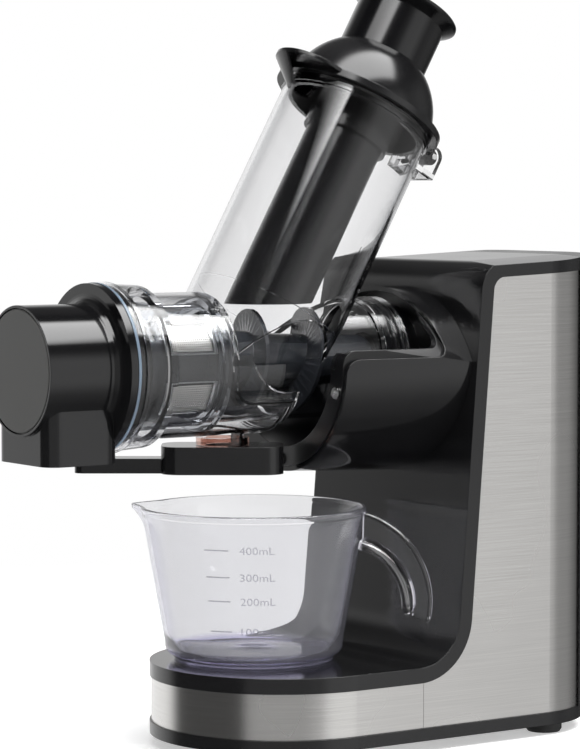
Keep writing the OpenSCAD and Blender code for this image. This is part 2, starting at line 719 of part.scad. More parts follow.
module armature() color("#8a5a2b") difference() {
    union() {
        intersection() {
            xcyl(motor_x + 8, motor_end - 14, armature_r, motor_z);
            union() {
                xcyl(motor_x + 8, motor_end - 14, armature_r - 6, motor_z);
                for (k = [0:4]) translate([motor_x + 8, 0, motor_z]) rotate([k * 36, 0, 0])
                    translate([0, -3.2, -armature_r]) cube([motor_len, 6.4, 2 * armature_r]);
            }
        }
        xcyl(motor_x + 5, motor_end - 11, 13, motor_z);
    }
    xcyl(motor_x, motor_end, rotor_r + seat, motor_z);
}
module commutator() color("#b87333") difference() {
    xcyl(motor_end - 10, motor_end - 1, comm_r, motor_z);
    xcyl(motor_end - 11, motor_end, rotor_r + seat, motor_z);
    for (k = [0:4]) translate([motor_end - 9, 0, motor_z]) rotate([k * 36 + 18, 0, 0])
        translate([0, -0.3, -10]) cube([9, 0.6, 3]);
}
fan_r = 27;
module cooling_fan() color("#dddddd") difference() {
    union() {
        xcyl(motor_end + 4, motor_end + 10, 8, motor_z);
        xcyl(motor_end + 8.5, motor_end + 10, fan_r, motor_z);
        for (k = [0:10]) translate([motor_end + 4.5, 0, motor_z]) rotate([k * 360 / 11, 0, 0])
            rotate([0, 0, 12]) translate([0, -0.7, 7]) cube([5, 1.4, fan_r - 8]);
    }
    xcyl(motor_end, motor_end + 12, rotor_r + seat, motor_z);
}

// ================= electrics =================
board_x = 92;
module control_board() color("#1d5a2a") {
    block([board_x, -26, 15], [board_x + 34, 26, 16.6]);
    block([board_x + 4, -20, 16.6 - eps], [board_x + 14, -8, 28]);
    translate([board_x + 22, 10, 16.6 - eps]) cylinder(h = 18, r = 6);
    block([board_x + 18, -20, 16.6 - eps], [board_x + 28, -6, 24]);
    for (p = [[board_x + 3, -23], [board_x + 3, 23], [board_x + 31, -23], [board_x + 31, 23]])
        translate([p.x, p.y, foot_h + floor_t]) cylinder(h = 15 - foot_h - floor_t + eps, r = 2.2);
}
pivot_x = rear_x - 2;
pivot_r = 1.2;
module switch_housing() color("#101010") difference() {
    union() {
        block([rear_x - 14, seat - switch_w / 2, switch_z - switch_h / 2 + seat],
              [rear_x + 0.1, switch_w / 2 - seat, switch_z + switch_h / 2 - seat]);
        block([rear_x, -switch_w / 2 - 1.5, switch_z - switch_h / 2 - 1.5],
              [rear_x + 1.2, switch_w / 2 + 1.5, switch_z + switch_h / 2 + 1.5]);
    }
    block([rear_x - 11, 1.6 - switch_w / 2, switch_z - switch_h / 2 + 1.6],
          [rear_x + 3, switch_w / 2 - 1.6, switch_z + switch_h / 2 - 1.6]);
    translate([pivot_x, 0, switch_z]) rotate([90, 0, 0])
        cylinder(h = switch_w - 1, r = pivot_r + slip, center = true);
}
// a rocker with a hollow face, on a pin across the switch
module rocker() color("#202020") {
    translate([pivot_x, 0, switch_z]) rotate([90, 0, 0])
        cylinder(h = switch_w - 1.3, r = pivot_r, center = true);
    yext(switch_w - 3.8) difference() {
        translate([pivot_x, switch_z]) circle(switch_h / 2 - 2.2);
        translate([rear_x + 20, switch_z]) circle(19.5);
        translate([pivot_x - 20 - 4, switch_z - 20]) square([20, 40]);
    }
}
module cord_inlet() color("#101010") difference() {
    union() {
        xcyl(rear_x - 6, rear_x + 0.5, inlet_r - seat, inlet_z);
        xcyl(rear_x, rear_x + 2, inlet_r + 2, inlet_z);
        xcyl(rear_x - 6, rear_x - wall - 0.2, inlet_r + 1.5, inlet_z);
    }
    xcyl(rear_x - 7, rear_x + 3, 3.8, inlet_z);
}

// ================= juicing chamber =================
ring_end = chamber_x + ring_len;
mouth_r = ring_r - 1.4 - clear_wall;
inner_r = barrel_r - clear_wall;
tube_in = tube_r - clear_wall;
tube_x = shoulder_x - clear_wall - 0.5;    // front end of the auger tube
shelf_z = axis_z - 18.5;             // top of the trough behind the barrel
shoulder_r = 12;
collar_x = shoulder_x + 9.5;         // rear end of the collar round the tube
collar_r = 33;

// places its children on the chute's axis: local z runs up the chute
module on_chute() translate([chute_x, 0, axis_z]) rotate([0, chute_tilt, 0]) children();

// side view of what is cut away above the trough: all that lies behind x and
// above z, with a concave corner of radius r
module sweep_side(x, z, r) {
    translate([x + r, z + r]) circle(r);
    translate([x, z + r]) square(far);
    translate([x + r, z]) square(far);
}
// barrel and trough, with a round rear end, drawn in by i
module barrel_form(i = 0) difference() {
    xturn(concat([[0, ring_end - 8], [barrel_r - i, ring_end - 8]],
                 [for (a = [0:15:90]) [barrel_r - 12 + (12 - i) * cos(a),
                                       trough_x - 12 + (12 - i) * sin(a)]],
                 [[0, trough_x - i]]));
    yext(2 * far) sweep_side(shoulder_x - i, shelf_z - i, shoulder_r + i);
}
// collar round the auger tube, behind the barrel
module collar_form() difference() {
    xcyl(shoulder_x - 6, trough_x - 4, collar_r);
    yext(2 * far) sweep_side(collar_x, shelf_z + 4.5, 25);
}
// widening from the auger tube to the chute, seen along X
throat_rise = 23;
module throat_end(r, top_w)
    polygon([[0.1 - r, axis_z], [r - 0.1, axis_z], [top_w, axis_z + throat_rise], [top_w, far],
             [-top_w, far], [-top_w, axis_z + throat_rise]]);
module throat_form(rc, rt, top_w, up = chute_start) intersection() {
    on_chute() translate([0, 0, -60]) cylinder(h = 60 + up, r = rc);
    rotate([90, 0, 90]) linear_extrude(far, center = true) throat_end(rt, top_w);
}
drain_at = 6;
drain_r = 2.6;
spout_floor = 2.2;

module juice_chamber() color([0.75, 0.8, 0.85, 0.4]) difference() {
    union() {
        // front ring with two beads
        xcone(chamber_x, ring_end, ring_r, ring_r - 1.4);
        xcyl(chamber_x + 3, chamber_x + 5, ring_r + 0.6);
        xturn([[0, ring_end - 8], [ring_r - 1, ring_end - 8], [ring_r - 1.4, ring_end],
               [barrel_r, ring_end + 3], [0, ring_end + 3]]);
        // barrel round the strainer, and the trough under the throat
        barrel_form();
        collar_form();
        // auger tube and neck
        xcyl(tube_x, neck_x, tube_r);
        xcyl(neck_x - 6, neck_x, neck_ring_r);
        xcyl(neck_x - 17, neck_x - 14, neck_ring_r - 0.6);
        throat_form(chute_r, tube_r, chute_r + 0.1);
        // juice spout
        translate([spout_x, 0, spout_z])
            cylinder(h = axis_z - barrel_r - spout_z + 3, r = spout_r);
    }
    // mouth for the cap and gasket
    xcyl(chamber_x - 1, ring_end - 3, mouth_r);
    // space round the strainer and in the trough, outside the auger tube
    difference() {
        barrel_form(clear_wall);
        xcyl(tube_x, far, tube_r);
    }
    xcyl(tube_x - 1, neck_x + 1, tube_in);
    throat_form(chute_r - clear_wall, tube_in, chute_r + 0.1 - clear_wall, chute_len);
    // bore of the spout, round a boss for the lever's screw
    difference() {
        translate([spout_x, 0, spout_z + spout_floor])
            cylinder(h = axis_z - tube_r - 1 - spout_z - spout_floor, r = spout_r - 2.2);
        translate([spout_x, 0, spout_z]) cylinder(h = spout_floor + 5, r = drain_at - drain_r - 0.2);
    }
    translate([spout_x, 0, spout_z - 1]) cylinder(h = spout_floor + 4, r = pilot_r);
    translate([spout_x, 0, spout_z - 1]) rotate([0, 0, lever_angle])
        translate([drain_at, 0, 0]) cylinder(h = spout_floor + 2, r = drain_r);
}

// hinge ears on the chute
ear_in = 5.3;
ear_out = 10.5;
ear_r = 5.2;
hinge_s = chute_len + 1.4;
// an ear round the pin: a plate from x = foot, reaching `down` below the pin
module hinge_ear(y0, y1, r, foot, down) difference() {
    union() {
        translate([hinge_out, y0, hinge_s]) rotate([-90, 0, 0]) cylinder(h = y1 - y0, r = r);
        translate([foot, y0, hinge_s - down]) cube([hinge_out - foot, y1 - y0, down + r]);
        if (down > r) translate([foot, y0, hinge_s - down])
            cube([hinge_out + r - foot, y1 - y0, down]);
    }
    translate([hinge_out, y0 - 1, hinge_s]) rotate([-90, 0, 0])
        cylinder(h = y1 - y0 + 2, r = hinge_pin_r + slip);
}
module feed_chute() color([0.75, 0.8, 0.85, 0.4]) difference() {
    on_chute() difference() {
        union() {
            translate([0, 0, chute_start + seat]) cylinder(h = chute_len - chute_start - seat, r = chute_r);
            translate([0, 0, chute_len - 4]) cylinder(h = 4, r = chute_r + 1);
            for (y0 = [-ear_out, ear_in]) hinge_ear(y0, y0 + ear_out - ear_in, ear_r, chute_r - 2, 10);
            // bridge under the ears
            translate([chute_r - 2, -ear_out, hinge_s - ear_r - 6])
                cube([hinge_out - chute_r + 2 + ear_r, 2 * ear_out, 4]);
        }
        cylinder(h = far, r = chute_r - clear_wall);
        // room for the lid's flange
        translate([0, 0, chute_len]) cylinder(h = 20, r = lid_r + 0.4);
    }
    // the lower end saddles the auger tube
    xcyl(tube_x, neck_x + 1, tube_r + seat);
}
module hinge_pin() color("silver") on_chute() translate([hinge_out, -ear_out - 0.6, hinge_s])
    rotate([-90, 0, 0]) cylinder(h = 2 * ear_out + 1.2, r = hinge_pin_r);

module spout_seal() color("#8a3a10") translate([spout_x, 0, 0]) difference() {
    translate([0, 0, lever_top + 0.4]) cylinder(h = 3.6, r = spout_r + 2.6);
    translate([0, 0, lever_top]) cylinder(h = 10, r = spout_r + seat);
}

// ================= strainer =================
mesh_t = 0.5;
strainer_x0 = chamber_x + 5;
strainer_x1 = tube_x - 0.3;
window_x1 = strainer_x1 - 8;
window_x0 = window_x1 - 26;
window_deg = 30;
frame_in = strainer_r - 2;
module window_cut(k) translate([window_x0, 0, axis_z]) rotate([30 + k * 60, 0, 0])
    translate([0, -strainer_r * sin(window_deg / 2), 5])
        cube([window_x1 - window_x0, 2 * strainer_r * sin(window_deg / 2), 60]);
module strainer_frame() color("dimgray") difference() {
    union() {
        xcyl(strainer_x0 + 1, strainer_x1, strainer_r);
        xcyl(strainer_x0, strainer_x0 + 3, mouth_r - 0.3);
        xring(strainer_x1 - 4, strainer_x1, inner_r - 0.3, strainer_r - 1);
    }
    xcyl(strainer_x0 - 1, strainer_x1 - 4, frame_in);
    xcyl(strainer_x0, strainer_x1 + 1, tube_in);
    for (k = [0:5]) window_cut(k + 0.5);
}
// perforated sheet inside the windows
module strainer_mesh() color("silver") {
    pitch = (window_x1 - window_x0 - 3) / (hole_rows - 1);
    count = 6;
    step = window_deg / (count + 0.2);
    difference() {
        xring(strainer_x0 + 3, strainer_x1 - 4.2, frame_in - seat, frame_in - seat - mesh_t);
        for (k = [0:5], j = [0:count - 1], i = [0:hole_rows - 1])
            translate([window_x0 + 1.5 + i * pitch, 0, axis_z])
                rotate([k * 60 + (j - (count - 1) / 2) * step + (i % 2) * step / 2, 0, 0])
                    translate([0, 0, frame_in - 3]) cylinder(h = 6, r = hole_r, $fn = 16);
    }
}

// ================= pulp cap =================
cap_end = chamber_x - 1.6;       // rear face of the flange
outlet_x1 = cap_x + 42.7;
bush_r = 7;
module rounded_prism(x0, x1, w, r, z0, z1) translate([0, 0, z0]) linear_extrude(z1 - z0) {
    translate([x0 + r, -w / 2]) square([x1 - x0 - 2 * r, w]);
    translate([x0, r - w / 2]) square([x1 - x0, w - 2 * r]);
    for (x = [x0 + r, x1 - r], s = [-1, 1]) translate([x, s * (w / 2 - r)]) circle(r);
}
module pulp_cap() color("#121212") difference() {
    union() {
        xcyl(cap_x, cap_end, cap_r);
        xcyl(cap_end - cap_flange, cap_end, ring_r);
        xturn([[cap_r - 1, cap_end - cap_flange - 5], [cap_r, cap_end - cap_flange - 5],
               for (a = [0:15:90]) [cap_r + 5 - 5 * cos(a), cap_end - cap_flange - 5 + 5 * sin(a)],
               [cap_r + 5, cap_end - 1], [cap_r - 1, cap_end - 1]]);
        // spigot inside the chamber's ring
        xcyl(cap_end - 1, strainer_x0 - 0.5, mouth_r - 0.3);
        rounded_prism(cap_x + 1.8, outlet_x1, outlet_w, 8, outlet_z, axis_z);
    }
    // seat of the end disc
    xcyl(cap_x - 1, cap_x + 2, cap_r - 1.2);
    // pulp space
    difference() {
        union() {
            xcyl(cap_x + 2 + cap_wall, strainer_x0 + 1, cap_r - cap_wall);
            rounded_prism(cap_x + 1.8 + cap_wall, outlet_x1 - cap_wall, outlet_w - 2 * cap_wall,
                          8 - cap_wall, outlet_z - 1, axis_z);
        }
        // bush for the auger's front stub, on three spokes
        xcyl(cap_end - 12, cap_end + 4, bush_r + 4);
        for (a = [0, 120, 240]) translate([0, 0, axis_z]) rotate([a, 0, 0])
            translate([cap_end - 12, -1.5, 0]) cube([16, 3, cap_r + 2]);
    }
    xcyl(cap_end - 14, cap_end + 5, bush_r + 1.5 + slip);
}
module cap_disc() color("#2c2c2c") difference() {
    xcyl(cap_x, cap_x + 2 - seat, cap_r - 1.2 - 0.5);
    xring(cap_x - 1, cap_x + 0.4, cap_r, cap_r - 2.1);
}
module cap_gasket() color("#b9c7d6")
    xring(cap_end + seat, chamber_x - seat, ring_r + 0.3, mouth_r - 0.2);
module auger_bush() color("ivory") xring(cap_end - 11, cap_end + 3.5, bush_r + 1.5, bush_r - 1);

// ================= auger =================
auger_x0 = strainer_x0 + 2;
auger_x1 = spigot_x - 0.6;
stub_r = bush_r - 1 - slip;
flight_x0 = auger_x0 + 3;
flight_x1 = 30;
function core_at(x) = let (t = (x - auger_x0) / (auger_x1 - auger_x0)) 20 - 8 * t;
// the flight's turn grows coarser towards the feed end
function flight_angle(t) = flight_turns * 360 * (1.35 * t - 0.35 * t * t);
function around(x, r, a) = [x, r * sin(a), axis_z + r * cos(a)];
module auger_flight() {
    steps = 130;
    thick = 3;
    pts = [for (i = [0:steps]) let (t = i / steps, x = flight_x0 + t * (flight_x1 - flight_x0 - thick),
                a = flight_angle(t), rc = core_at(x) - 1.5)
            each [around(x - 0.6, rc, a), around(x + 0.4, flight_r, a),
                  around(x + thick - 0.4, flight_r, a), around(x + thick + 0.6, rc, a)]];
    sides = [for (i = [0:steps - 1], j = [0:3]) let (p = 4 * i + j, q = 4 * i + (j + 1) % 4)
                each [[p, p + 4, q], [q, p + 4, q + 4]]];
    polyhedron(pts, concat([[0, 1, 2], [0, 2, 3]], sides,
        [[4 * steps, 4 * steps + 2, 4 * steps + 1], [4 * steps, 4 * steps + 3, 4 * steps + 2]]));
}
module auger() color("#8d9196") {
    difference() {
        xturn([[0, cap_end - 10], [stub_r, cap_end - 10], [stub_r, auger_x0 - 0.5],
               [core_at(auger_x0) - 3, auger_x0], [core_at(auger_x0), auger_x0 + 3],
               [core_at(auger_x1), auger_x1 - 3], [core_at(auger_x1) - 1, auger_x1], [0, auger_x1]]);
        translate([hex_x - 2, 0, axis_z]) rotate([0, 90, 0]) cylinder(h = 60, r = hex_r + 0.2, $fn = 6);
    }
    auger_flight();
}

// ================= drip lever =================
lever_top = 155.5;
lever_z = lever_top - lever_h;
module rounded_plate(x0, x1, w, r, h) linear_extrude(h) {
    translate([x0 + r, -w / 2]) square([x1 - x0 - 2 * r, w]);
    translate([x0, r - w / 2]) square([x1 - x0, w - 2 * r]);
    for (x = [x0 + r, x1 - r], s = [-1, 1]) translate([x, s * (w / 2 - r)]) circle(r);
}
module drip_lever() color("#111111") translate([spout_x, 0, lever_z]) rotate([0, 0, lever_angle])
    difference() {
        union() {
            rounded_plate(-lever_w / 2, lever_w / 2, lever_d, 10, lever_h);
            rounded_plate(0, lever_reach, 16, 5, lever_h - 6.5);
        }
        // pocket for the spout, the drain hole and the screw hole in its floor
        translate([0, 0, spout_z - lever_z - 0.1]) cylinder(h = far, r = spout_r + slip);
        translate([drain_at, 0, -1]) cylinder(h = far, r = drain_r);
        translate([0, 0, -1]) cylinder(h = far, r = pilot_r + slip);
        translate([0, 0, -1]) cylinder(h = 2.1, r = screw_head_r + 0.1);
    }
module lever_screw() color("silver") translate([spout_x, 0, lever_z - 0.2])
    screw(pilot_r - seat, 6, screw_head_r, 1.2);

// ================= lid and pusher =================
dome_h = lid_h - lid_flange;
dome_top_r = 24.3;
// centre and radius of the dome's arc through its foot and its collar
dome_c = (dome_h * dome_h + dome_top_r * dome_top_r - dome_r * dome_r) / (2 * dome_h);
dome_arc = sqrt(dome_r * dome_r + dome_c * dome_c);
guide_r = rod_r + slip;
plug_r = chute_r - clear_wall - rest_gap;    // lid's ring in the chute
tab_w = 22;
tab_y = -6;          // middle of the tab, off the hinge's middle plane
tab_drop = 10.5;     // depth of the tab's slanting lip below the flange
tab_plate = 1.8;
lip_wall = 2;
sleeve_r = guide_r + 2.2;
sleeve_s = 17;       // reach of the rod's sleeve below the flange
// plate and slanting lip of the finger tab, opposite the hinge, open to one side
module finger_tab() difference() {
    union() {
        translate([0, 0, lid_flange - tab_plate]) cylinder(h = tab_plate, r = tab_w);
        translate([0, 0, -tab_drop])
            cylinder(h = tab_drop + lid_flange - tab_plate + eps, r1 = tab_w - 12, r2 = tab_w);
    }
    translate([0, 0, -tab_drop])
        cylinder(h = tab_drop + lid_flange - tab_plate, r1 = tab_w - 12 - lip_wall, r2 = tab_w - lip_wall);
    translate([-2 * tab_w, -2 * tab_w, -2 * tab_drop])
        cube([4 * tab_w, 2 * tab_w - 2, 2 * tab_drop + lid_flange - tab_plate]);
}
module feed_lid() color("#101010") on_chute() translate([0, 0, chute_len + rest_gap]) difference() {
    union() {
        difference() {
            union() {
                cylinder(h = lid_flange, r = lid_r);
                intersection() {
                    translate([0, 0, lid_flange + dome_c]) sphere(dome_arc);
                    translate([0, 0, lid_flange - eps]) cylinder(h = dome_h - rest_gap + eps, r = dome_r);
                }
                difference() {
                    translate([tab_w - tab_reach, tab_y, 0]) finger_tab();
                    translate([0, 0, -20]) cylinder(h = 20, r = chute_r + 1.6);
                }
                // locating ring inside the chute
                translate([0, 0, -5]) cylinder(h = 6, r = plug_r);
                // hinge knuckle
                translate([0, 0, -chute_len - rest_gap])
                    hinge_ear(rest_gap - ear_in, ear_in - rest_gap, ear_r - 0.8, dome_r - 4,
                              hinge_s - chute_len - rest_gap);
            }
            // hollow dome
            intersection() {
                translate([0, 0, lid_flange + dome_c]) sphere(dome_arc - lid_wall);
                translate([0, 0, -6]) cylinder(h = 6 + lid_h - rest_gap - 2 * lid_wall, r = plug_r - lid_wall);
            }
            translate([0, 0, -6]) cylinder(h = 8, r = plug_r - lid_wall);
            translate([hinge_out, -8, hinge_s - chute_len - rest_gap]) rotate([-90, 0, 0])
                cylinder(h = 16, r = hinge_pin_r + slip);
        }
        // sleeve that guides the pusher's rod
        translate([0, 0, -sleeve_s]) cylinder(h = sleeve_s + lid_h - 2 * lid_wall, r = sleeve_r);
    }
    translate([0, 0, -sleeve_s - 1]) cylinder(h = 80, r = guide_r);
}

grip_s = chute_len + lid_h + rest_gap;
module pusher() color("#0c0c0c") difference() {
    on_chute() {
        translate([0, 0, -20]) cylinder(h = grip_s + 21, r = rod_r);
        translate([0, 0, grip_s]) rotate_extrude() polygon([[0, 0], [grip_r, 0],
            [grip_r, grip_len - 6], [grip_rim_r - 0.8, grip_len - 2.4], [grip_rim_r, grip_len - 1.6],
            [grip_rim_r, grip_len - 0.6], [grip_rim_r - 0.6, grip_len], [grip_r, grip_len],
            [grip_r - 3, grip_len - 4], [0, grip_len - 5]]);
    }
    // level foot
    block([-far, -far, 0], [far, far, rod_foot_z]);
    // hollow rod above a solid foot
    on_chute() translate([0, 0, (rod_foot_z - axis_z) / cos(chute_tilt) + 16])
        cylinder(h = grip_s - 20 - (rod_foot_z - axis_z) / cos(chute_tilt), r = rod_r - 2.2);
}

// ================= jug =================
jug_z = deck_z + 0.02;
rim_z = jug_h;
jug_rim_w = 2.4;
foot_ring_r = jug_foot_r - 3;
foot_ring_w = 3;
jug_outside = [[0, 2], [foot_ring_r - foot_ring_w, 2], [foot_ring_r - foot_ring_w, 0], [foot_ring_r, 0],
               [foot_ring_r, 2], [jug_foot_r - 1.2, 3.4], [jug_foot_r + 0.6, 6.5],
               [jug_rim_r - 0.7, rim_z - jug_rim_w - 0.5], [jug_rim_r, rim_z - jug_rim_w], [jug_rim_r, rim_z], [0, rim_z]];
jug_inside = [[0, 2 + jug_wall], [jug_foot_r - jug_wall - 4, 2 + jug_wall],
              [jug_foot_r - jug_wall - 1.2, 3.4 + jug_wall], [jug_foot_r - jug_wall + 0.6, 6.5 + jug_wall],
              [jug_rim_r - 0.7 - jug_wall, rim_z - jug_rim_w], [jug_rim_r - 0.7 - jug_wall, rim_z + 1], [0, rim_z + 1]];
spout_tip = 66;
cone_h = 15;
cone_top = 13;
handle_c_out = [47, 75 - 43];
handle_out_r = 46.8;
handle_c_in = [51, 73 - 43];
handle_in_r = 28.3;
module handle_form(shrink_out = 0, shrink_in = 0) difference() {
    translate(handle_c_out) circle(handle_out_r - shrink_out);
    translate(handle_c_in) circle(handle_in_r + shrink_in);
    // below the tip, and inside the jug
    polygon([[0, -100], [120, -100], [120, 5], [handle_c_in.x + 30, 17.5], [handle_c_in.x, 24], [0, 40]]);
    translate([0, -10]) square([54, 75]);
    translate([0, -10]) square([handle_c_in.x - 2, 120]);
}
module juice_jug() color([0.78, 0.78, 0.9, 0.4]) translate([jug_x, jug_y, jug_z]) {
    difference() {
        union() {
            rotate_extrude() polygon(jug_outside);
            // pouring lip
            rotate([0, 0, handle_angle + 180]) translate([spout_tip - cone_top, 0, rim_z - cone_h])
                cylinder(h = cone_h, r1 = 2, r2 = cone_top);
            // hook handle: outer band, web and inner rib
            rotate([0, 0, handle_angle]) difference() {
                union() {
                    yext(16) difference() {
                        handle_form();
                        translate(handle_c_out) circle(handle_out_r - 2.4);
                    }
                    yext(2.6) handle_form();
                    yext(9) difference() {
                        handle_form();
                        difference() {
                            translate(handle_c_out) circle(handle_out_r + 1);
                            translate(handle_c_in) circle(handle_in_r + 3.2);
                        }
                    }
                }
                cylinder(h = far, r = jug_rim_r - 4);
            }
        }
        rotate_extrude() polygon(jug_inside);
        rotate([0, 0, handle_angle + 180]) translate([spout_tip - cone_top, 0, rim_z - cone_h + 2])
            cylinder(h = cone_h, r1 = 0.5, r2 = cone_top - jug_wall + 1);
    }
}

bottom_cover();
rubber_feet();
base_screws();
front_band();
side_panel_near();
side_panel_far();
main_housing();
rear_cover();
rear_screws();
dock_drum();
dock_liner();
dock_screws();
dock_seals();
gearbox_front_plate();
gearbox_rear_plate();
gearbox_posts();
gearbox_screws();
shaft_bushes();
motor_can();
motor_magnets();
motor_end_cap();
carbon_brushes();
control_board();
switch_housing();
cord_inlet();
rocker();
output_shaft();
output_gear();
second_shaft();
second_gear();
third_pinion();
first_shaft();
first_gear();
second_pinion();
rotor_shaft();
armature();
commutator();
motor_pinion();
cooling_fan();
juice_chamber();
feed_chute();
spout_seal();
strainer_frame();
strainer_mesh();
pulp_cap();
cap_disc();
cap_gasket();
auger();
auger_bush();
drip_lever();
lever_screw();
feed_lid();
hinge_pin();
pusher();
juice_jug();
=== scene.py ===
"""Looks of the cold press juicer: finishes, fine trim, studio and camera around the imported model."""

import json
import math

import bpy
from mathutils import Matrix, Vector

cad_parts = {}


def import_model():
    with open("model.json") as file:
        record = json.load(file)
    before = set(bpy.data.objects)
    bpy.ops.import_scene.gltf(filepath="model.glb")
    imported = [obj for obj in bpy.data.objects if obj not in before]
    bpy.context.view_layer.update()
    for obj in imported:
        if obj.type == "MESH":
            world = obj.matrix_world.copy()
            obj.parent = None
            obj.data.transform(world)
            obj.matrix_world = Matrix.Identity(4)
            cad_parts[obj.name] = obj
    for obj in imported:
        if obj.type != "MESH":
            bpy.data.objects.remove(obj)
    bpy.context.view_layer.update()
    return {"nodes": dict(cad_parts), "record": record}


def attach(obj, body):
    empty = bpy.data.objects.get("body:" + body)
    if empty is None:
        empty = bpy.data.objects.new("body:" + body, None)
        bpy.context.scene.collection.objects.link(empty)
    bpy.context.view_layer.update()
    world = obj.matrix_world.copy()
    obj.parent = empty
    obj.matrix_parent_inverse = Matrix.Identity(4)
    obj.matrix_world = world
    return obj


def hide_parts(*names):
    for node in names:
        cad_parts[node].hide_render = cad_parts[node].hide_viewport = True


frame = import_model()
nodes = frame["nodes"]

MM = 0.001
SOFT_EDGE = 0.5 * MM       # how round the edges of moulded parts look


# ================= node helpers =================
def new_material(name, color, roughness, metallic=0.0, **sockets):
    """A Principled material with constant sockets; returns its tree and shader too."""
    mat = bpy.data.materials.new(name)
    mat.use_nodes = True
    tree = mat.node_tree
    shader = tree.nodes["Principled BSDF"]
    shader.inputs["Base Color"].default_value = (*color, 1.0)
    shader.inputs["Roughness"].default_value = roughness
    shader.inputs["Metallic"].default_value = metallic
    for socket, value in sockets.items():
        shader.inputs[socket.replace("_", " ")].default_value = value
    return mat, tree, shader


def grain(tree, scale, stretch=(1.0, 1.0, 1.0), detail=3.0):
    """Noise that is fixed to the piece, 0 to 1."""
    coord = tree.nodes.new("ShaderNodeTexCoord")
    mapping = tree.nodes.new("ShaderNodeMapping")
    mapping.inputs["Scale"].default_value = stretch
    noise = tree.nodes.new("ShaderNodeTexNoise")
    noise.inputs["Scale"].default_value = scale
    noise.inputs["Detail"].default_value = detail
    tree.links.new(coord.outputs["Object"], mapping.inputs["Vector"])
    tree.links.new(mapping.outputs["Vector"], noise.inputs["Vector"])
    return noise.outputs["Fac"]


def spread(tree, source, low, high, start=0.3, end=0.7):
    """source from start to end becomes low to high."""
    ramp = tree.nodes.new("ShaderNodeMapRange")
    for socket, value in zip(("From Min", "From Max", "To Min", "To Max"), (start, end, low, high)):
        ramp.inputs[socket].default_value = value
    tree.links.new(source, ramp.inputs["Value"])
    return ramp.outputs["Result"]


def two_tone(tree, source, low, high, start=0.3, end=0.7):
    """A colour between low and high, by source."""
    ramp = tree.nodes.new("ShaderNodeValToRGB")
    ramp.color_ramp.elements[0].position = start
    ramp.color_ramp.elements[0].color = (*low, 1.0)
    ramp.color_ramp.elements[1].position = end
    ramp.color_ramp.elements[1].color = (*high, 1.0)
    tree.links.new(source, ramp.inputs["Fac"])
    return ramp.outputs["Color"]


def relief(tree, shader, source, depth, edge=0.0):
    """Bump of the given depth in metres, over edges that look rounded by edge."""
    bump = tree.nodes.new("ShaderNodeBump")
    bump.inputs["Strength"].default_value = 1.0
    bump.inputs["Distance"].default_value = depth
    tree.links.new(source, bump.inputs["Height"])
    if edge:
        soft = tree.nodes.new("ShaderNodeBevel")
        soft.samples = 4
        soft.inputs["Radius"].default_value = edge
        tree.links.new(soft.outputs["Normal"], bump.inputs["Normal"])
    tree.links.new(bump.outputs["Normal"], shader.inputs["Normal"])


def scaled(color, share):
    """A colour made lighter or darker."""
    return tuple(c * share for c in color)


# ================= finishes =================
def moulding(name, color, roughness, depth=2e-6, grain_scale=900.0):
    """Moulded plastic: an even colour with faint flow marks, a fine skin and soft edges."""
    mat, tree, shader = new_material(name, color, roughness)
    flow = grain(tree, 25.0)
    tone = two_tone(tree, flow, scaled(color, 0.88), scaled(color, 1.12))
    tree.links.new(tone, shader.inputs["Base Color"])
    tree.links.new(spread(tree, flow, roughness * 0.85, roughness * 1.15), shader.inputs["Roughness"])
    relief(tree, shader, grain(tree, grain_scale, detail=2.0), depth, SOFT_EDGE)
    return mat


def brushed(name, color, roughness, stretch, edge=0.0, anisotropy=0.0):
    """Brushed or drawn metal; stretch gives the grain's fineness along each axis."""
    mat, tree, shader = new_material(name, color, roughness, metallic=1.0, Anisotropic=anisotropy,
                                     Anisotropic_Rotation=0.25)
    lines = grain(tree, 1.0, stretch, detail=5.0)
    cloud = grain(tree, 14.0, detail=2.0)
    tone = two_tone(tree, lines, scaled(color, 0.93), scaled(color, 1.05))
    tree.links.new(tone, shader.inputs["Base Color"])
    tree.links.new(spread(tree, cloud, roughness * 0.9, roughness * 1.1), shader.inputs["Roughness"])
    relief(tree, shader, lines, 1.5e-6, edge)
    if anisotropy:
        tangent = tree.nodes.new("ShaderNodeTangent")
        tangent.direction_type = "RADIAL"
        tangent.axis = "Z"
        tree.links.new(tangent.outputs["Tangent"], shader.inputs["Tangent"])
    return mat


CLEAR_IOR = 1.5
FOOT_FADE = 5 * MM


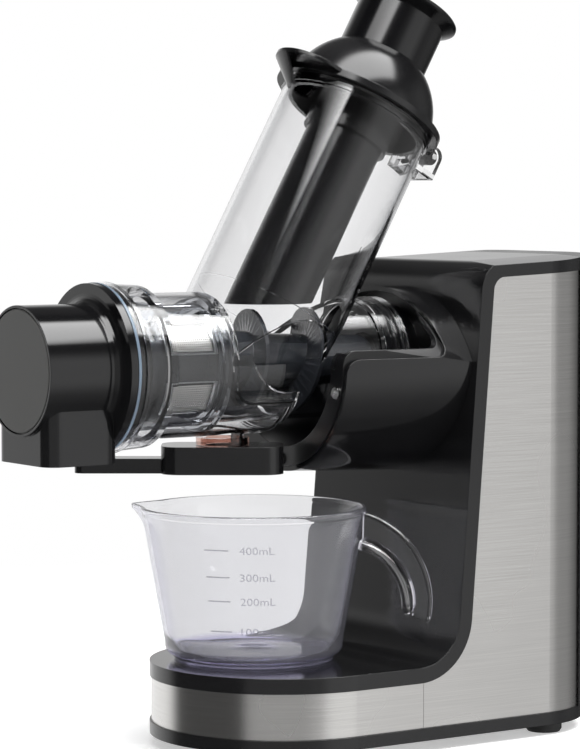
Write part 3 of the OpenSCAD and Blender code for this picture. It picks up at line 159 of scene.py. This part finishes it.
def clear(name, tint, edge_tint, haze=0.0, haze_color=(0.8, 0.8, 0.8), foot=None):
    """Clear plastic, darker where it is seen edge on, with a faint haze; lamps shine through it.

    foot is a height in metres and a colour that the thick plastic takes below that height.
    """
    mat, tree, shader = new_material(name, tint, 0.015, IOR=CLEAR_IOR, Transmission_Weight=1.0)
    facing = tree.nodes.new("ShaderNodeLayerWeight")
    facing.inputs["Blend"].default_value = 0.35
    tone = two_tone(tree, facing.outputs["Facing"], tint, edge_tint, 0.35, 1.0)
    if foot:
        place = tree.nodes.new("ShaderNodeSeparateXYZ")
        tree.links.new(tree.nodes.new("ShaderNodeTexCoord").outputs["Object"], place.inputs["Vector"])
        low = spread(tree, place.outputs["Z"], 1.0, 0.0, foot[0] - FOOT_FADE, foot[0])
        thick = tree.nodes.new("ShaderNodeMix")
        thick.data_type = "RGBA"
        thick.inputs["B"].default_value = (*foot[1], 1.0)
        tree.links.new(low, thick.inputs["Factor"])
        tree.links.new(tone, thick.inputs["A"])
        tone = thick.outputs["Result"]
    tree.links.new(tone, shader.inputs["Base Color"])
    body = shader.outputs["BSDF"]
    if haze:
        mist = tree.nodes.new("ShaderNodeBsdfDiffuse")
        mist.inputs["Color"].default_value = (*haze_color, 1.0)
        blend = tree.nodes.new("ShaderNodeMixShader")
        blend.inputs["Fac"].default_value = haze
        tree.links.new(body, blend.inputs[1])
        tree.links.new(mist.outputs["BSDF"], blend.inputs[2])
        body = blend.outputs["Shader"]
    path = tree.nodes.new("ShaderNodeLightPath")
    window = tree.nodes.new("ShaderNodeBsdfTransparent")
    window.inputs["Color"].default_value = (*tint, 1.0)
    mix = tree.nodes.new("ShaderNodeMixShader")
    tree.links.new(path.outputs["Is Shadow Ray"], mix.inputs["Fac"])
    tree.links.new(body, mix.inputs[1])
    tree.links.new(window.outputs["BSDF"], mix.inputs[2])
    tree.links.new(mix.outputs["Shader"], tree.nodes["Material Output"].inputs["Surface"])
    return mat


def silicone(name, color, roughness, weight):
    """Soft rubber that lets some light in."""
    mat, tree, shader = new_material(name, color, roughness, Subsurface_Weight=weight,
                                     Subsurface_Scale=2 * MM)
    tone = two_tone(tree, grain(tree, 60.0), scaled(color, 0.85), scaled(color, 1.1))
    tree.links.new(tone, shader.inputs["Base Color"])
    relief(tree, shader, grain(tree, 700.0), 4e-6, 0.3 * MM)
    return mat


FINISHES = {
    "gloss_black": moulding("gloss_black", (0.006, 0.006, 0.0065), 0.11, depth=1e-6, grain_scale=120.0),
    "satin_black": moulding("satin_black", (0.006, 0.006, 0.0065), 0.24, depth=1.2e-6, grain_scale=1500.0),
    "end_grey": moulding("end_grey", (0.05, 0.05, 0.048), 0.4, depth=6e-6, grain_scale=2600.0),
    "steel": brushed("steel", (0.66, 0.65, 0.635), 0.27, (25.0, 25.0, 2600.0), anisotropy=0.6),
    "bright_steel": brushed("bright_steel", (0.75, 0.75, 0.75), 0.2, (900.0, 900.0, 900.0), edge=0.2 * MM),
    "clear": clear("clear", (0.965, 0.965, 0.97), (0.3, 0.31, 0.34)),
    "jug_clear": clear("jug_clear", (0.955, 0.955, 0.97), (0.2, 0.18, 0.42), haze=0.055,
                       haze_color=(0.72, 0.72, 0.78), foot=(51 * MM, (0.5, 0.47, 0.72))),
    "foot_rubber": moulding("foot_rubber", (0.02, 0.02, 0.02), 0.75, depth=1e-5, grain_scale=1800.0),
    "seal_rubber": silicone("seal_rubber", (0.16, 0.045, 0.02), 0.35, 0.1),
    "gasket": silicone("gasket", (0.16, 0.21, 0.27), 0.25, 0.1),
    "auger_grey": moulding("auger_grey", (0.02, 0.022, 0.026), 0.16, depth=1e-6),
    "strainer_grey": clear("strainer_grey", (0.8, 0.82, 0.85), (0.12, 0.13, 0.15)),
    "mesh_steel": brushed("mesh_steel", (0.86, 0.85, 0.83), 0.35, (600.0, 600.0, 600.0)),
    "nylon": moulding("nylon", (0.75, 0.72, 0.62), 0.4, depth=3e-6),
    "bronze": brushed("bronze", (0.55, 0.36, 0.16), 0.4, (500.0, 500.0, 500.0)),
    "copper": brushed("copper", (0.7, 0.32, 0.15), 0.35, (900.0, 200.0, 200.0)),
    "motor_steel": brushed("motor_steel", (0.42, 0.42, 0.43), 0.4, (40.0, 900.0, 900.0)),
    "ferrite": moulding("ferrite", (0.05, 0.05, 0.055), 0.6, depth=1e-5),
    "plate_steel": brushed("plate_steel", (0.5, 0.51, 0.52), 0.35, (400.0, 60.0, 900.0)),
    "board": moulding("board", (0.02, 0.13, 0.05), 0.4, depth=4e-6),
}

# Finishes of single nodes that differ from their slot's.
OWN_FINISHES = {
    "spout_seal": clear("spout_seal", (0.62, 0.4, 0.34), (0.2, 0.1, 0.08)),
    "pusher": moulding("pusher_black", (0.004, 0.004, 0.0045), 0.15, depth=8e-7, grain_scale=900.0),
    "dock_liner": moulding("liner_black", (0.003, 0.003, 0.0035), 0.3, depth=1e-6, grain_scale=1500.0),
    "feed_lid": moulding("lid_black", (0.007, 0.007, 0.0075), 0.2, depth=1e-6, grain_scale=900.0),
    "dock_seals": silicone("dock_rubber", (0.014, 0.014, 0.015), 0.4, 0.0),
}

for entry in frame["record"]["subparts"]:
    cad = nodes[entry["node"]]
    cad.data.materials.clear()
    cad.data.materials.append(OWN_FINISHES.get(entry["node"], FINISHES[entry["material_slot"]]))


# ================= modelled pieces =================
def piece(name, points, faces, body, finish, stands_for=None, smooth=True):
    """A mesh piece, in metres, that rides on a body."""
    mesh = bpy.data.meshes.new(name)
    mesh.from_pydata(points, [], faces)
    mesh.validate()
    obj = bpy.data.objects.new(name, mesh)
    bpy.context.scene.collection.objects.link(obj)
    for polygon in mesh.polygons:
        polygon.use_smooth = smooth
    mesh.materials.append(finish)
    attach(obj, body)
    if stands_for:
        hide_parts(stands_for)


def smooth_step(low, high, value):
    """0 below low, 1 above high, with a soft start and end."""
    share = min(1.0, max(0.0, (value - low) / (high - low)))
    return share * share * (3.0 - 2.0 * share)


# ---- jug: a turned cup whose rim is drawn out into a pouring lip; millimetres until it is built ----
JUG_AT = (-19.0, 9.5, 43.02)
JUG_HANDLE = math.radians(-48.0)
JUG_H = 79.0
JUG_WALL = 2.2
JUG_TURN = 240             # steps round the cup
WALL_FOOT = (45.3, 5.0)    # outer radius and height where the wall's cone starts
WALL_TAPER = 12.4 / 71.0   # growth of the radius with height
FLOOR = 3.9
LIP_REACH = 7.5
LIP_HALF_ANGLE = 19.0
LIP_DEPTH = 17.0           # how far below the rim the lip starts


def jug_outside(height):
    """Outer radius of the cup's wall."""
    return WALL_FOOT[0] + WALL_TAPER * (height - WALL_FOOT[1])


def fillet_arc(center, radius, start, end, count):
    """Points of an arc, between two angles in degrees."""
    return [(center[0] + radius * math.cos(math.radians(start + (end - start) * k / count)),
             center[1] + radius * math.sin(math.radians(start + (end - start) * k / count)))
            for k in range(count + 1)]


def jug_profile():
    """Radius and height, from the middle of the underside round to the middle of the floor."""
    under = [(0.0, 2.0), (38.0, 2.0), (39.2, 1.2)] + fillet_arc((40.7, 0.5), 0.5, 270, 360, 3)
    heel = fillet_arc((41.0, 7.6), 5.0, -80, -8, 8)
    wall = [(jug_outside(z), z) for z in range(9, 76, 3)]
    rim = [(57.9, 75.6), (58.35, 76.2), (58.4, 77.6)] + fillet_arc((57.2, 77.8), 1.2, 0, 180, 8)
    inside = [(jug_outside(z) - JUG_WALL, z) for z in range(75, 10, -3)]
    cove = fillet_arc((37.6, 9.4), 5.4, -8, -90, 8)
    gate_mark = [(4.0, FLOOR), (3.0, FLOOR + 0.4), (0.0, FLOOR + 0.5)]
    return under + heel + wall + rim + inside + cove + [(20.0, FLOOR)] + gate_mark


def jug_lip(angle, height):
    """How far the wall is drawn out at an angle from the lip's middle, in degrees."""
    across = max(0.0, 1.0 - abs(angle) / LIP_HALF_ANGLE)
    return LIP_REACH * across ** 1.6 * smooth_step(JUG_H - LIP_DEPTH, JUG_H, height)


def around_jug(turn, radius, height):
    """A point round the jug's axis, in metres, from millimetres."""
    return ((JUG_AT[0] + radius * math.cos(turn)) * MM, (JUG_AT[1] + radius * math.sin(turn)) * MM,
            (JUG_AT[2] + height) * MM)


def jug_cup():
    """The cup's closed skin, opposite the handle drawn out into the lip."""
    profile = jug_profile()
    points, faces = [], []
    for k in range(JUG_TURN):
        turn = 2.0 * math.pi * k / JUG_TURN
        from_lip = math.degrees((turn - JUG_HANDLE) % (2.0 * math.pi) - math.pi)
        for radius, height in profile[1:-1]:
            out = radius + (jug_lip(from_lip, height) if radius > 30.0 else 0.0)
            points.append(around_jug(turn, out, height))
    rows = len(profile) - 2
    for k in range(JUG_TURN):
        after = (k + 1) % JUG_TURN
        for j in range(rows - 1):
            faces.append((k * rows + j, after * rows + j, after * rows + j + 1, k * rows + j + 1))
    for end, row in ((profile[0], 0), (profile[-1], rows - 1)):
        middle = len(points)
        points.append(around_jug(0.0, 0.0, end[1]))
        for k in range(JUG_TURN):
            pair = (k * rows + row, ((k + 1) % JUG_TURN) * rows + row)
            faces.append((middle, pair[1], pair[0]) if row == 0 else (middle, pair[0], pair[1]))
    piece("jug_cup", points, faces, "jug", FINISHES["jug_clear"], stands_for="juice_jug")


def in_jug(along, across, height):
    """A point of the handle's plane: along from the jug's axis, across it and up, in metres."""
    c, s = math.cos(JUG_HANDLE), math.sin(JUG_HANDLE)
    return ((JUG_AT[0] + along * c - across * s) * MM, (JUG_AT[1] + along * s + across * c) * MM,
            (JUG_AT[2] + height) * MM)


def swept(name, spine, section, finish):
    """A closed section swept along a spine of (along, height, scale) points in the handle's plane."""
    points, faces = [], []
    count = len(section)
    for i, (along, height, scale) in enumerate(spine):
        before, after = spine[max(i - 1, 0)], spine[min(i + 1, len(spine) - 1)]
        da, dh = after[0] - before[0], after[1] - before[1]
        size = math.hypot(da, dh)
        normal = (dh / size, -da / size)
        for out, across in section:
            reach = out * scale
            points.append(in_jug(along + normal[0] * reach, across * scale, height + normal[1] * reach))
    for i in range(len(spine) - 1):
        for j in range(count):
            k = (j + 1) % count
            faces.append((i * count + j, i * count + k, (i + 1) * count + k, (i + 1) * count + j))
    faces.append(tuple(range(count)))
    faces.append(tuple(reversed(range((len(spine) - 1) * count, len(spine) * count))))
    piece(name, points, faces, "jug", finish)


def rounded_box(half_out, half_across, radius, corner=4):
    """Points round a rectangle with rounded corners."""
    section = []
    for sx, sy, start in ((1, 1, 0), (-1, 1, 90), (-1, -1, 180), (1, -1, 270)):
        center = (sx * (half_out - radius), sy * (half_across - radius))
        section += fillet_arc(center, radius, start, start + 90, corner)
    return section


END_SHARE = 0.08


def arc_spine(center, radius, start, end, count, tip=0):
    """A spine along an arc that narrows to a round end over its last tip steps."""
    spine = []
    for k in range(count + 1):
        angle = math.radians(start + (end - start) * k / count)
        left = count - k
        scale = 1.0 if left >= tip else math.sqrt(max(END_SHARE, 1.0 - (1.0 - left / tip) ** 2))
        spine.append((center[0] + radius * math.cos(angle), center[1] + radius * math.sin(angle), scale))
    return spine


INNER_CENTER, INNER_RADIUS = (50.5, 30.5), 31.0
OUTER_CENTER, OUTER_RADIUS = (47.0, 32.0), 45.6
WEB_HALF = 1.2
WEB_STEPS = 44


def jug_handle():
    """A hook of channel section: broad inner band, thin web and a narrow outer band."""
    clear_jug = clear("handle_clear", (0.96, 0.96, 0.975), (0.4, 0.38, 0.55))
    swept("jug_handle_inner", arc_spine(INNER_CENTER, INNER_RADIUS, 78, -10, 44, tip=5),
          rounded_box(2.6, 7.5, 2.3), clear_jug)
    swept("jug_handle_outer", arc_spine(OUTER_CENTER, OUTER_RADIUS, 76, -14, 48, tip=4),
          rounded_box(1.1, 2.4, 1.0), clear_jug)
    # The web runs from the inner band's outside to the outer band's inside.
    inner = arc_spine(INNER_CENTER, INNER_RADIUS + 2.5, 78, -10, WEB_STEPS)
    outer = arc_spine(OUTER_CENTER, OUTER_RADIUS - 1.0, 76, -13, WEB_STEPS)
    points, faces = [], []
    for (a0, h0, _), (a1, h1, _) in zip(inner, outer):
        for across in (-WEB_HALF, WEB_HALF):
            points += [in_jug(a0, across, h0), in_jug(a1, across, h1)]
    for i in range(len(inner) - 1):
        b, n = 4 * i, 4 * i + 4
        faces += [(b, b + 1, n + 1, n), (b + 3, b + 2, n + 2, n + 3),
                  (b + 2, b, n, n + 2), (b + 1, b + 3, n + 3, n + 1)]
    last = 4 * (len(inner) - 1)
    faces += [(0, 2, 3, 1), (last, last + 1, last + 3, last + 2)]
    piece("jug_handle_web", points, faces, "jug", clear_jug, smooth=False)


# ---- raised graduations on the cup: degrees round the jug's axis and millimetres ----
GRADUATIONS = (("400mL", 61.9), ("300mL", 48.1), ("200mL", 35.7), ("100mL", 20.1))
TICK_ANGLES = (-150.5, -137.2)
LABEL_ANGLE = -131.4
LABEL_WIDTH = 17.6
LETTER_HEIGHT = 3.9
MARK_RELIEF = 0.35
MARK_ROOT = -0.1           # how far the marks reach into the wall
TICK_WIDTH = 0.6
TICK_STEPS = 10
MARK = clear("graduation", (0.7, 0.7, 0.74), (0.15, 0.14, 0.25))


def on_jug(angle, height, out):
    """A point on the cup's outer wall, in metres."""
    return around_jug(math.radians(angle), jug_outside(height) + out, height)


def jug_tick(name, height):
    """A short raised line round the wall, narrower at its top."""
    points, faces = [], []
    for k in range(TICK_STEPS + 1):
        angle = TICK_ANGLES[0] + (TICK_ANGLES[1] - TICK_ANGLES[0]) * k / TICK_STEPS
        for up, out in ((-0.5, MARK_ROOT), (0.5, MARK_ROOT), (0.35, MARK_RELIEF), (-0.35, MARK_RELIEF)):
            points.append(on_jug(angle, height + up * TICK_WIDTH, out))
    for k in range(TICK_STEPS):
        for j in range(4):
            n = (j + 1) % 4
            faces.append((4 * k + j, 4 * k + n, 4 * k + 4 + n, 4 * k + 4 + j))
    faces += [(3, 2, 1, 0), tuple(4 * TICK_STEPS + j for j in range(4))]
    piece(name, points, faces, "jug", MARK, smooth=False)


def jug_label(name, words, height):
    """Lettering set flat, then wrapped on the cone of the wall."""
    curve = bpy.data.curves.new(name, "FONT")
    curve.body = words
    curve.resolution_u = 3
    curve.extrude = 0.5
    flat = bpy.data.objects.new(name + "_flat", curve)
    bpy.context.scene.collection.objects.link(flat)
    mesh = flat.evaluated_get(bpy.context.evaluated_depsgraph_get()).to_mesh()
    corners = [tuple(vertex.co) for vertex in mesh.vertices]
    faces = [tuple(polygon.vertices) for polygon in mesh.polygons]
    bpy.data.objects.remove(flat)
    left, right = min(c[0] for c in corners), max(c[0] for c in corners)
    low, high = min(c[1] for c in corners), max(c[1] for c in corners)
    points = []
    for x, y, z in corners:
        along = (x - left) / (right - left) * LABEL_WIDTH
        up = height + ((y - low) / (high - low) - 0.5) * LETTER_HEIGHT
        points.append(on_jug(LABEL_ANGLE + math.degrees(along / jug_outside(up)), up,
                             MARK_RELIEF if z > 0.0 else MARK_ROOT))
    piece(name, points, faces, "jug", MARK, smooth=False)


# ---- strainer: six thin perforated patches set in the frame's windows; millimetres ----
PATCH_X = (-97.4, -66.8)
PATCH_R = (28.75, 29.15)
PATCH_COLUMNS = 26         # holes along the axis
PATCH_CELLS = 15           # holes round the axis
CELL_TURN = 2.3            # degrees from hole to hole
HOLE_SHARE = 0.33          # a hole's radius as a share of its cell
CHAMBER_Z = 197.0
# A cell's corners and the middles of its sides, in the order of the hole's eight points.
AROUND = ((1, 0), (1, 1), (0, 1), (-1, 1), (-1, 0), (-1, -1), (0, -1), (1, -1))


def strainer_patch(middle):
    """A curved sheet, one hole a cell, centred on an angle from straight up, in degrees."""
    points, faces, kept = [], [], {}
    pitch = (PATCH_X[1] - PATCH_X[0]) / PATCH_COLUMNS

    def corner(column, cell, side):
        """The index of a point of the sheet; points that cells share are made once."""
        key = (round(column, 4), round(cell, 4), side)
        if key not in kept:
            kept[key] = len(points)
            turn = math.radians(middle + (cell - PATCH_CELLS / 2) * CELL_TURN)
            points.append(((PATCH_X[0] + column * pitch) * MM, PATCH_R[side] * math.sin(turn) * MM,
                           (CHAMBER_Z + PATCH_R[side] * math.cos(turn)) * MM))
        return kept[key]

    for column in range(PATCH_COLUMNS):
        for cell in range(PATCH_CELLS):
            u, v = column + 0.5, cell + 0.5
            rims = [[corner(u + 0.5 * a, v + 0.5 * b, side) for a, b in AROUND] for side in (0, 1)]
            holes = [[corner(u + HOLE_SHARE * math.cos(math.radians(45 * k)),
                             v + HOLE_SHARE * math.sin(math.radians(45 * k)), side) for k in range(8)]
                     for side in (0, 1)]
            for k in range(8):
                n = (k + 1) % 8
                faces.append((rims[0][k], rims[0][n], holes[0][n], holes[0][k]))
                faces.append((rims[1][n], rims[1][k], holes[1][k], holes[1][n]))
                faces.append((holes[0][k], holes[0][n], holes[1][n], holes[1][k]))
    edge = [(0.5 * k, 0) for k in range(2 * PATCH_COLUMNS)]
    edge += [(PATCH_COLUMNS, 0.5 * k) for k in range(2 * PATCH_CELLS)]
    edge += [(PATCH_COLUMNS - 0.5 * k, PATCH_CELLS) for k in range(2 * PATCH_COLUMNS)]
    edge += [(0, PATCH_CELLS - 0.5 * k) for k in range(2 * PATCH_CELLS)]
    for start, end in zip(edge, edge[1:] + edge[:1]):
        faces.append((corner(*start, 1), corner(*end, 1), corner(*end, 0), corner(*start, 0)))
    piece("strainer_patch_%d" % middle, points, faces, "chamber", FINISHES["mesh_steel"],
          stands_for="strainer_mesh", smooth=False)


jug_cup()
jug_handle()
for words, height in GRADUATIONS:
    jug_tick("jug_tick_" + words, height)
    jug_label("jug_label_" + words, words, height)
for middle in range(0, 360, 60):
    strainer_patch(middle)


# ================= floor, light and camera =================
FLOOR_HALF = 1.6
FLOOR_DROP = -0.2 * MM
FLOOR_FADE = (0.28, 0.75)  # metres from the middle
FLOOR_GLOW = 0.45


def stage_floor():
    """A pale floor that takes the juicer's shadow and fades into the backdrop; not seen from below."""
    size = FLOOR_HALF
    mesh = bpy.data.meshes.new("floor")
    corners = [(-size, -size, 0), (size, -size, 0), (size, size, 0), (-size, size, 0)]
    mesh.from_pydata(corners, [], [(0, 1, 2, 3)])
    floor = bpy.data.objects.new("floor", mesh)
    floor.location.z = FLOOR_DROP
    bpy.context.scene.collection.objects.link(floor)
    mat, tree, shader = new_material("floor_white", (0.9, 0.9, 0.9), 0.8)
    mottle = two_tone(tree, grain(tree, 3.0), (0.895, 0.895, 0.895), (0.905, 0.905, 0.905))
    tree.links.new(mottle, shader.inputs["Base Color"])
    coord = tree.nodes.new("ShaderNodeTexCoord")
    reach = tree.nodes.new("ShaderNodeVectorMath")
    reach.operation = "LENGTH"
    tree.links.new(coord.outputs["Object"], reach.inputs[0])
    path = tree.nodes.new("ShaderNodeLightPath")
    fade = tree.nodes.new("ShaderNodeMath")
    fade.operation = "MAXIMUM"
    tree.links.new(spread(tree, reach.outputs["Value"], 0.0, 1.0, *FLOOR_FADE), fade.inputs[0])
    tree.links.new(path.outputs["Is Glossy Ray"], fade.inputs[1])
    below = tree.nodes.new("ShaderNodeMath")
    below.operation = "MAXIMUM"
    tree.links.new(fade.outputs["Value"], below.inputs[0])
    tree.links.new(tree.nodes.new("ShaderNodeNewGeometry").outputs["Backfacing"], below.inputs[1])
    clear_part = tree.nodes.new("ShaderNodeBsdfTransparent")
    glow = tree.nodes.new("ShaderNodeEmission")
    glow.inputs["Strength"].default_value = FLOOR_GLOW
    lit = tree.nodes.new("ShaderNodeAddShader")
    mix = tree.nodes.new("ShaderNodeMixShader")
    tree.links.new(shader.outputs["BSDF"], lit.inputs[0])
    tree.links.new(glow.outputs["Emission"], lit.inputs[1])
    tree.links.new(below.outputs["Value"], mix.inputs["Fac"])
    tree.links.new(lit.outputs["Shader"], mix.inputs[1])
    tree.links.new(clear_part.outputs["BSDF"], mix.inputs[2])
    tree.links.new(mix.outputs["Shader"], tree.nodes["Material Output"].inputs["Surface"])
    mesh.materials.append(mat)


def area_light(name, place, target, size, power):
    """A soft box that lights matt surfaces; what gloss shows of the studio is in world()."""
    data = bpy.data.lights.new(name, "AREA")
    data.shape = "RECTANGLE"
    data.size, data.size_y = size
    data.energy = power
    lamp = bpy.data.objects.new(name, data)
    lamp.location = place
    lamp.rotation_euler = (Vector(target) - Vector(place)).to_track_quat("-Z", "Y").to_euler()
    lamp.visible_glossy = False
    lamp.visible_transmission = False
    bpy.context.scene.collection.objects.link(lamp)


def polar(azimuth, distance, height):
    """A place around the juicer: azimuth in degrees from +X."""
    angle = math.radians(azimuth)
    return (distance * math.cos(angle), distance * math.sin(angle), height)


def studio():
    """The lamps: a large one overhead, a key at the near side and one behind."""
    middle = (0.0, 0.0, 0.2)
    area_light("overhead", (-0.08, -0.64, 1.8), middle, (2.2, 1.4), 55.0)
    area_light("key", polar(-65, 1.9, 0.45), middle, (0.8, 1.0), 7.0)
    area_light("back", polar(110, 1.9, 0.6), middle, (1.2, 1.2), 6.0)


# The studio that gloss shows: soft boxes standing round the juicer, each from one azimuth to another
# in degrees from +X, with the width of its soft edges and its brightness, over a dim room.
SOFT_BOXES = (
    (-156, -94, 8, 0.35),      # reflector beyond the pulp cap
    (-90, -48, 20, 0.9),       # key box at the near side
    (-50, 0, 30, 0.25),        # reflector beside the tower
    (36, 126, 12, 0.55),       # wall behind
    (62, 122, 24, 0.45),       # box in front of that wall
)
ROOM = 0.08
FILL = 0.3                 # light on matt surfaces from all round
# What is seen through clear plastic: azimuth and brightness of a pale backdrop between dark sides.
BACKDROP = ((-180, 0.15), (-60, 0.5), (-10, 0.2), (22, 0.15), (38, 1.0), (120, 1.0), (150, 0.6), (180, 0.15))
OVERHEAD = 8.5             # brightness of the soft box overhead
OVERHEAD_BOX = ((-0.85, 0.75), (-0.9, 0.1))    # its edges along X and Y, as shares of its height


def world():
    """White for the camera, a studio of soft boxes for gloss and clear parts, dim light elsewhere."""
    world_data = bpy.data.worlds.new("studio")
    bpy.context.scene.world = world_data
    world_data.use_nodes = True
    tree = world_data.node_tree
    tree.nodes.clear()
    link = tree.links.new

    def math_node(operation, *values, clamp=False):
        node = tree.nodes.new("ShaderNodeMath")
        node.operation = operation
        node.use_clamp = clamp
        for socket, value in zip(node.inputs, values):
            if isinstance(value, (int, float)):
                socket.default_value = value
            else:
                link(value, socket)
        return node.outputs[0]

    coord = tree.nodes.new("ShaderNodeTexCoord")
    split = tree.nodes.new("ShaderNodeSeparateXYZ")
    link(coord.outputs["Generated"], split.inputs[0])
    angle = math_node("ARCTAN2", split.outputs["Y"], split.outputs["X"])
    azimuth = math_node("MULTIPLY", angle, math.degrees(1.0))
    turn = math_node("MULTIPLY_ADD", azimuth, 1.0 / 360.0, 0.5)
    up = math_node("DIVIDE", math_node("ARCSINE", split.outputs["Z"]), math.radians(90.0))

    def ring(stops):
        """Brightness round the horizon, along straight lines between the stops."""
        ramp = tree.nodes.new("ShaderNodeValToRGB")
        line = ramp.color_ramp
        peak = max(v for _, v in stops)
        for place, _ in stops[1:-1]:
            line.elements.new((place + 180.0) / 360.0)
        for element, (place, value) in zip(line.elements, stops):
            element.position = (place + 180.0) / 360.0
            element.color = (value / peak,) * 3 + (1.0,)
        link(turn, ramp.inputs["Fac"])
        return math_node("MULTIPLY", ramp.outputs["Color"], peak)

    def rise(low, high, value_low=0.0, value_high=1.0):
        """A smooth step in elevation, in degrees."""
        node = tree.nodes.new("ShaderNodeMapRange")
        node.interpolation_type = "SMOOTHSTEP"
        for socket, value in zip(("From Min", "From Max", "To Min", "To Max"),
                                 (low / 90.0, high / 90.0, value_low, value_high)):
            node.inputs[socket].default_value = value
        link(up, node.inputs["Value"])
        return node.outputs["Result"]

    def inside(share, low, high, soft=0.12):
        """1 between low and high, with soft edges."""
        return math_node("MULTIPLY",
                         math_node("MULTIPLY_ADD", share, 1.0 / soft, 0.5 - low / soft, clamp=True),
                         math_node("MULTIPLY_ADD", share, -1.0 / soft, 0.5 + high / soft, clamp=True))

    height = math_node("MAXIMUM", split.outputs["Z"], 0.05)
    around = ROOM
    for start, end, soft, brightness in SOFT_BOXES:
        around = math_node("MULTIPLY_ADD", inside(azimuth, start, end, soft), brightness, around)
    sides = math_node("MULTIPLY", math_node("MULTIPLY", around, rise(13, 32, 1.0, 0.12)),
                      rise(-40, -14, 0.4, 1.0))
    box = math_node("MULTIPLY",
                    inside(math_node("DIVIDE", split.outputs["X"], height), *OVERHEAD_BOX[0]),
                    inside(math_node("DIVIDE", split.outputs["Y"], height), *OVERHEAD_BOX[1]))
    gloss = math_node("MULTIPLY_ADD", box, OVERHEAD, sides)
    behind = math_node("MULTIPLY", ring(BACKDROP), rise(14, 32, 0.97, 0.15))
    through = math_node("MULTIPLY_ADD", box, OVERHEAD, behind)
    path = tree.nodes.new("ShaderNodeLightPath")

    def choose(flag, yes, no):
        """yes where flag is 1, otherwise no."""
        node = tree.nodes.new("ShaderNodeMix")
        node.data_type = "FLOAT"
        link(flag, node.inputs["Factor"])
        for socket, value in ((node.inputs["A"], no), (node.inputs["B"], yes)):
            if isinstance(value, (int, float)):
                socket.default_value = value
            else:
                link(value, socket)
        return node.outputs["Result"]

    level = choose(path.outputs["Is Glossy Ray"], gloss, FILL)
    level = choose(path.outputs["Is Transmission Ray"], through, level)
    level = choose(path.outputs["Is Camera Ray"], 1.0, level)
    sky = tree.nodes.new("ShaderNodeBackground")
    sky.inputs["Color"].default_value = (1.0, 1.0, 1.0, 1.0)
    out = tree.nodes.new("ShaderNodeOutputWorld")
    link(level, sky.inputs["Strength"])
    link(sky.outputs["Background"], out.inputs["Surface"])


# The camera looks at CAMERA_AIM from CAMERA_PLACE; metres.
CAMERA_AIM = Vector((-0.00284, 0.0, 0.18973))
CAMERA_PLACE = Vector((-0.89108, -1.28903, 0.28740))
CAMERA_LENS = 146.31       # mm
SENSOR = 36.0              # mm along the long side of the picture


def camera():
    """The photo's point of view."""
    data = bpy.data.cameras.new("camera")
    data.lens = CAMERA_LENS
    data.sensor_width = SENSOR
    cam = bpy.data.objects.new("camera", data)
    cam.location = CAMERA_PLACE
    cam.rotation_euler = (CAMERA_AIM - CAMERA_PLACE).to_track_quat("-Z", "Y").to_euler()
    bpy.context.scene.collection.objects.link(cam)
    bpy.context.scene.camera = cam


BOUNCES = 20

stage_floor()
studio()
world()
camera()
scene = bpy.context.scene
scene.view_settings.view_transform = "Standard"
# Light passes many clear walls before it reaches the camera.
scene.cycles.max_bounces = BOUNCES
scene.cycles.transmission_bounces = BOUNCES
scene.cycles.transparent_max_bounces = BOUNCES
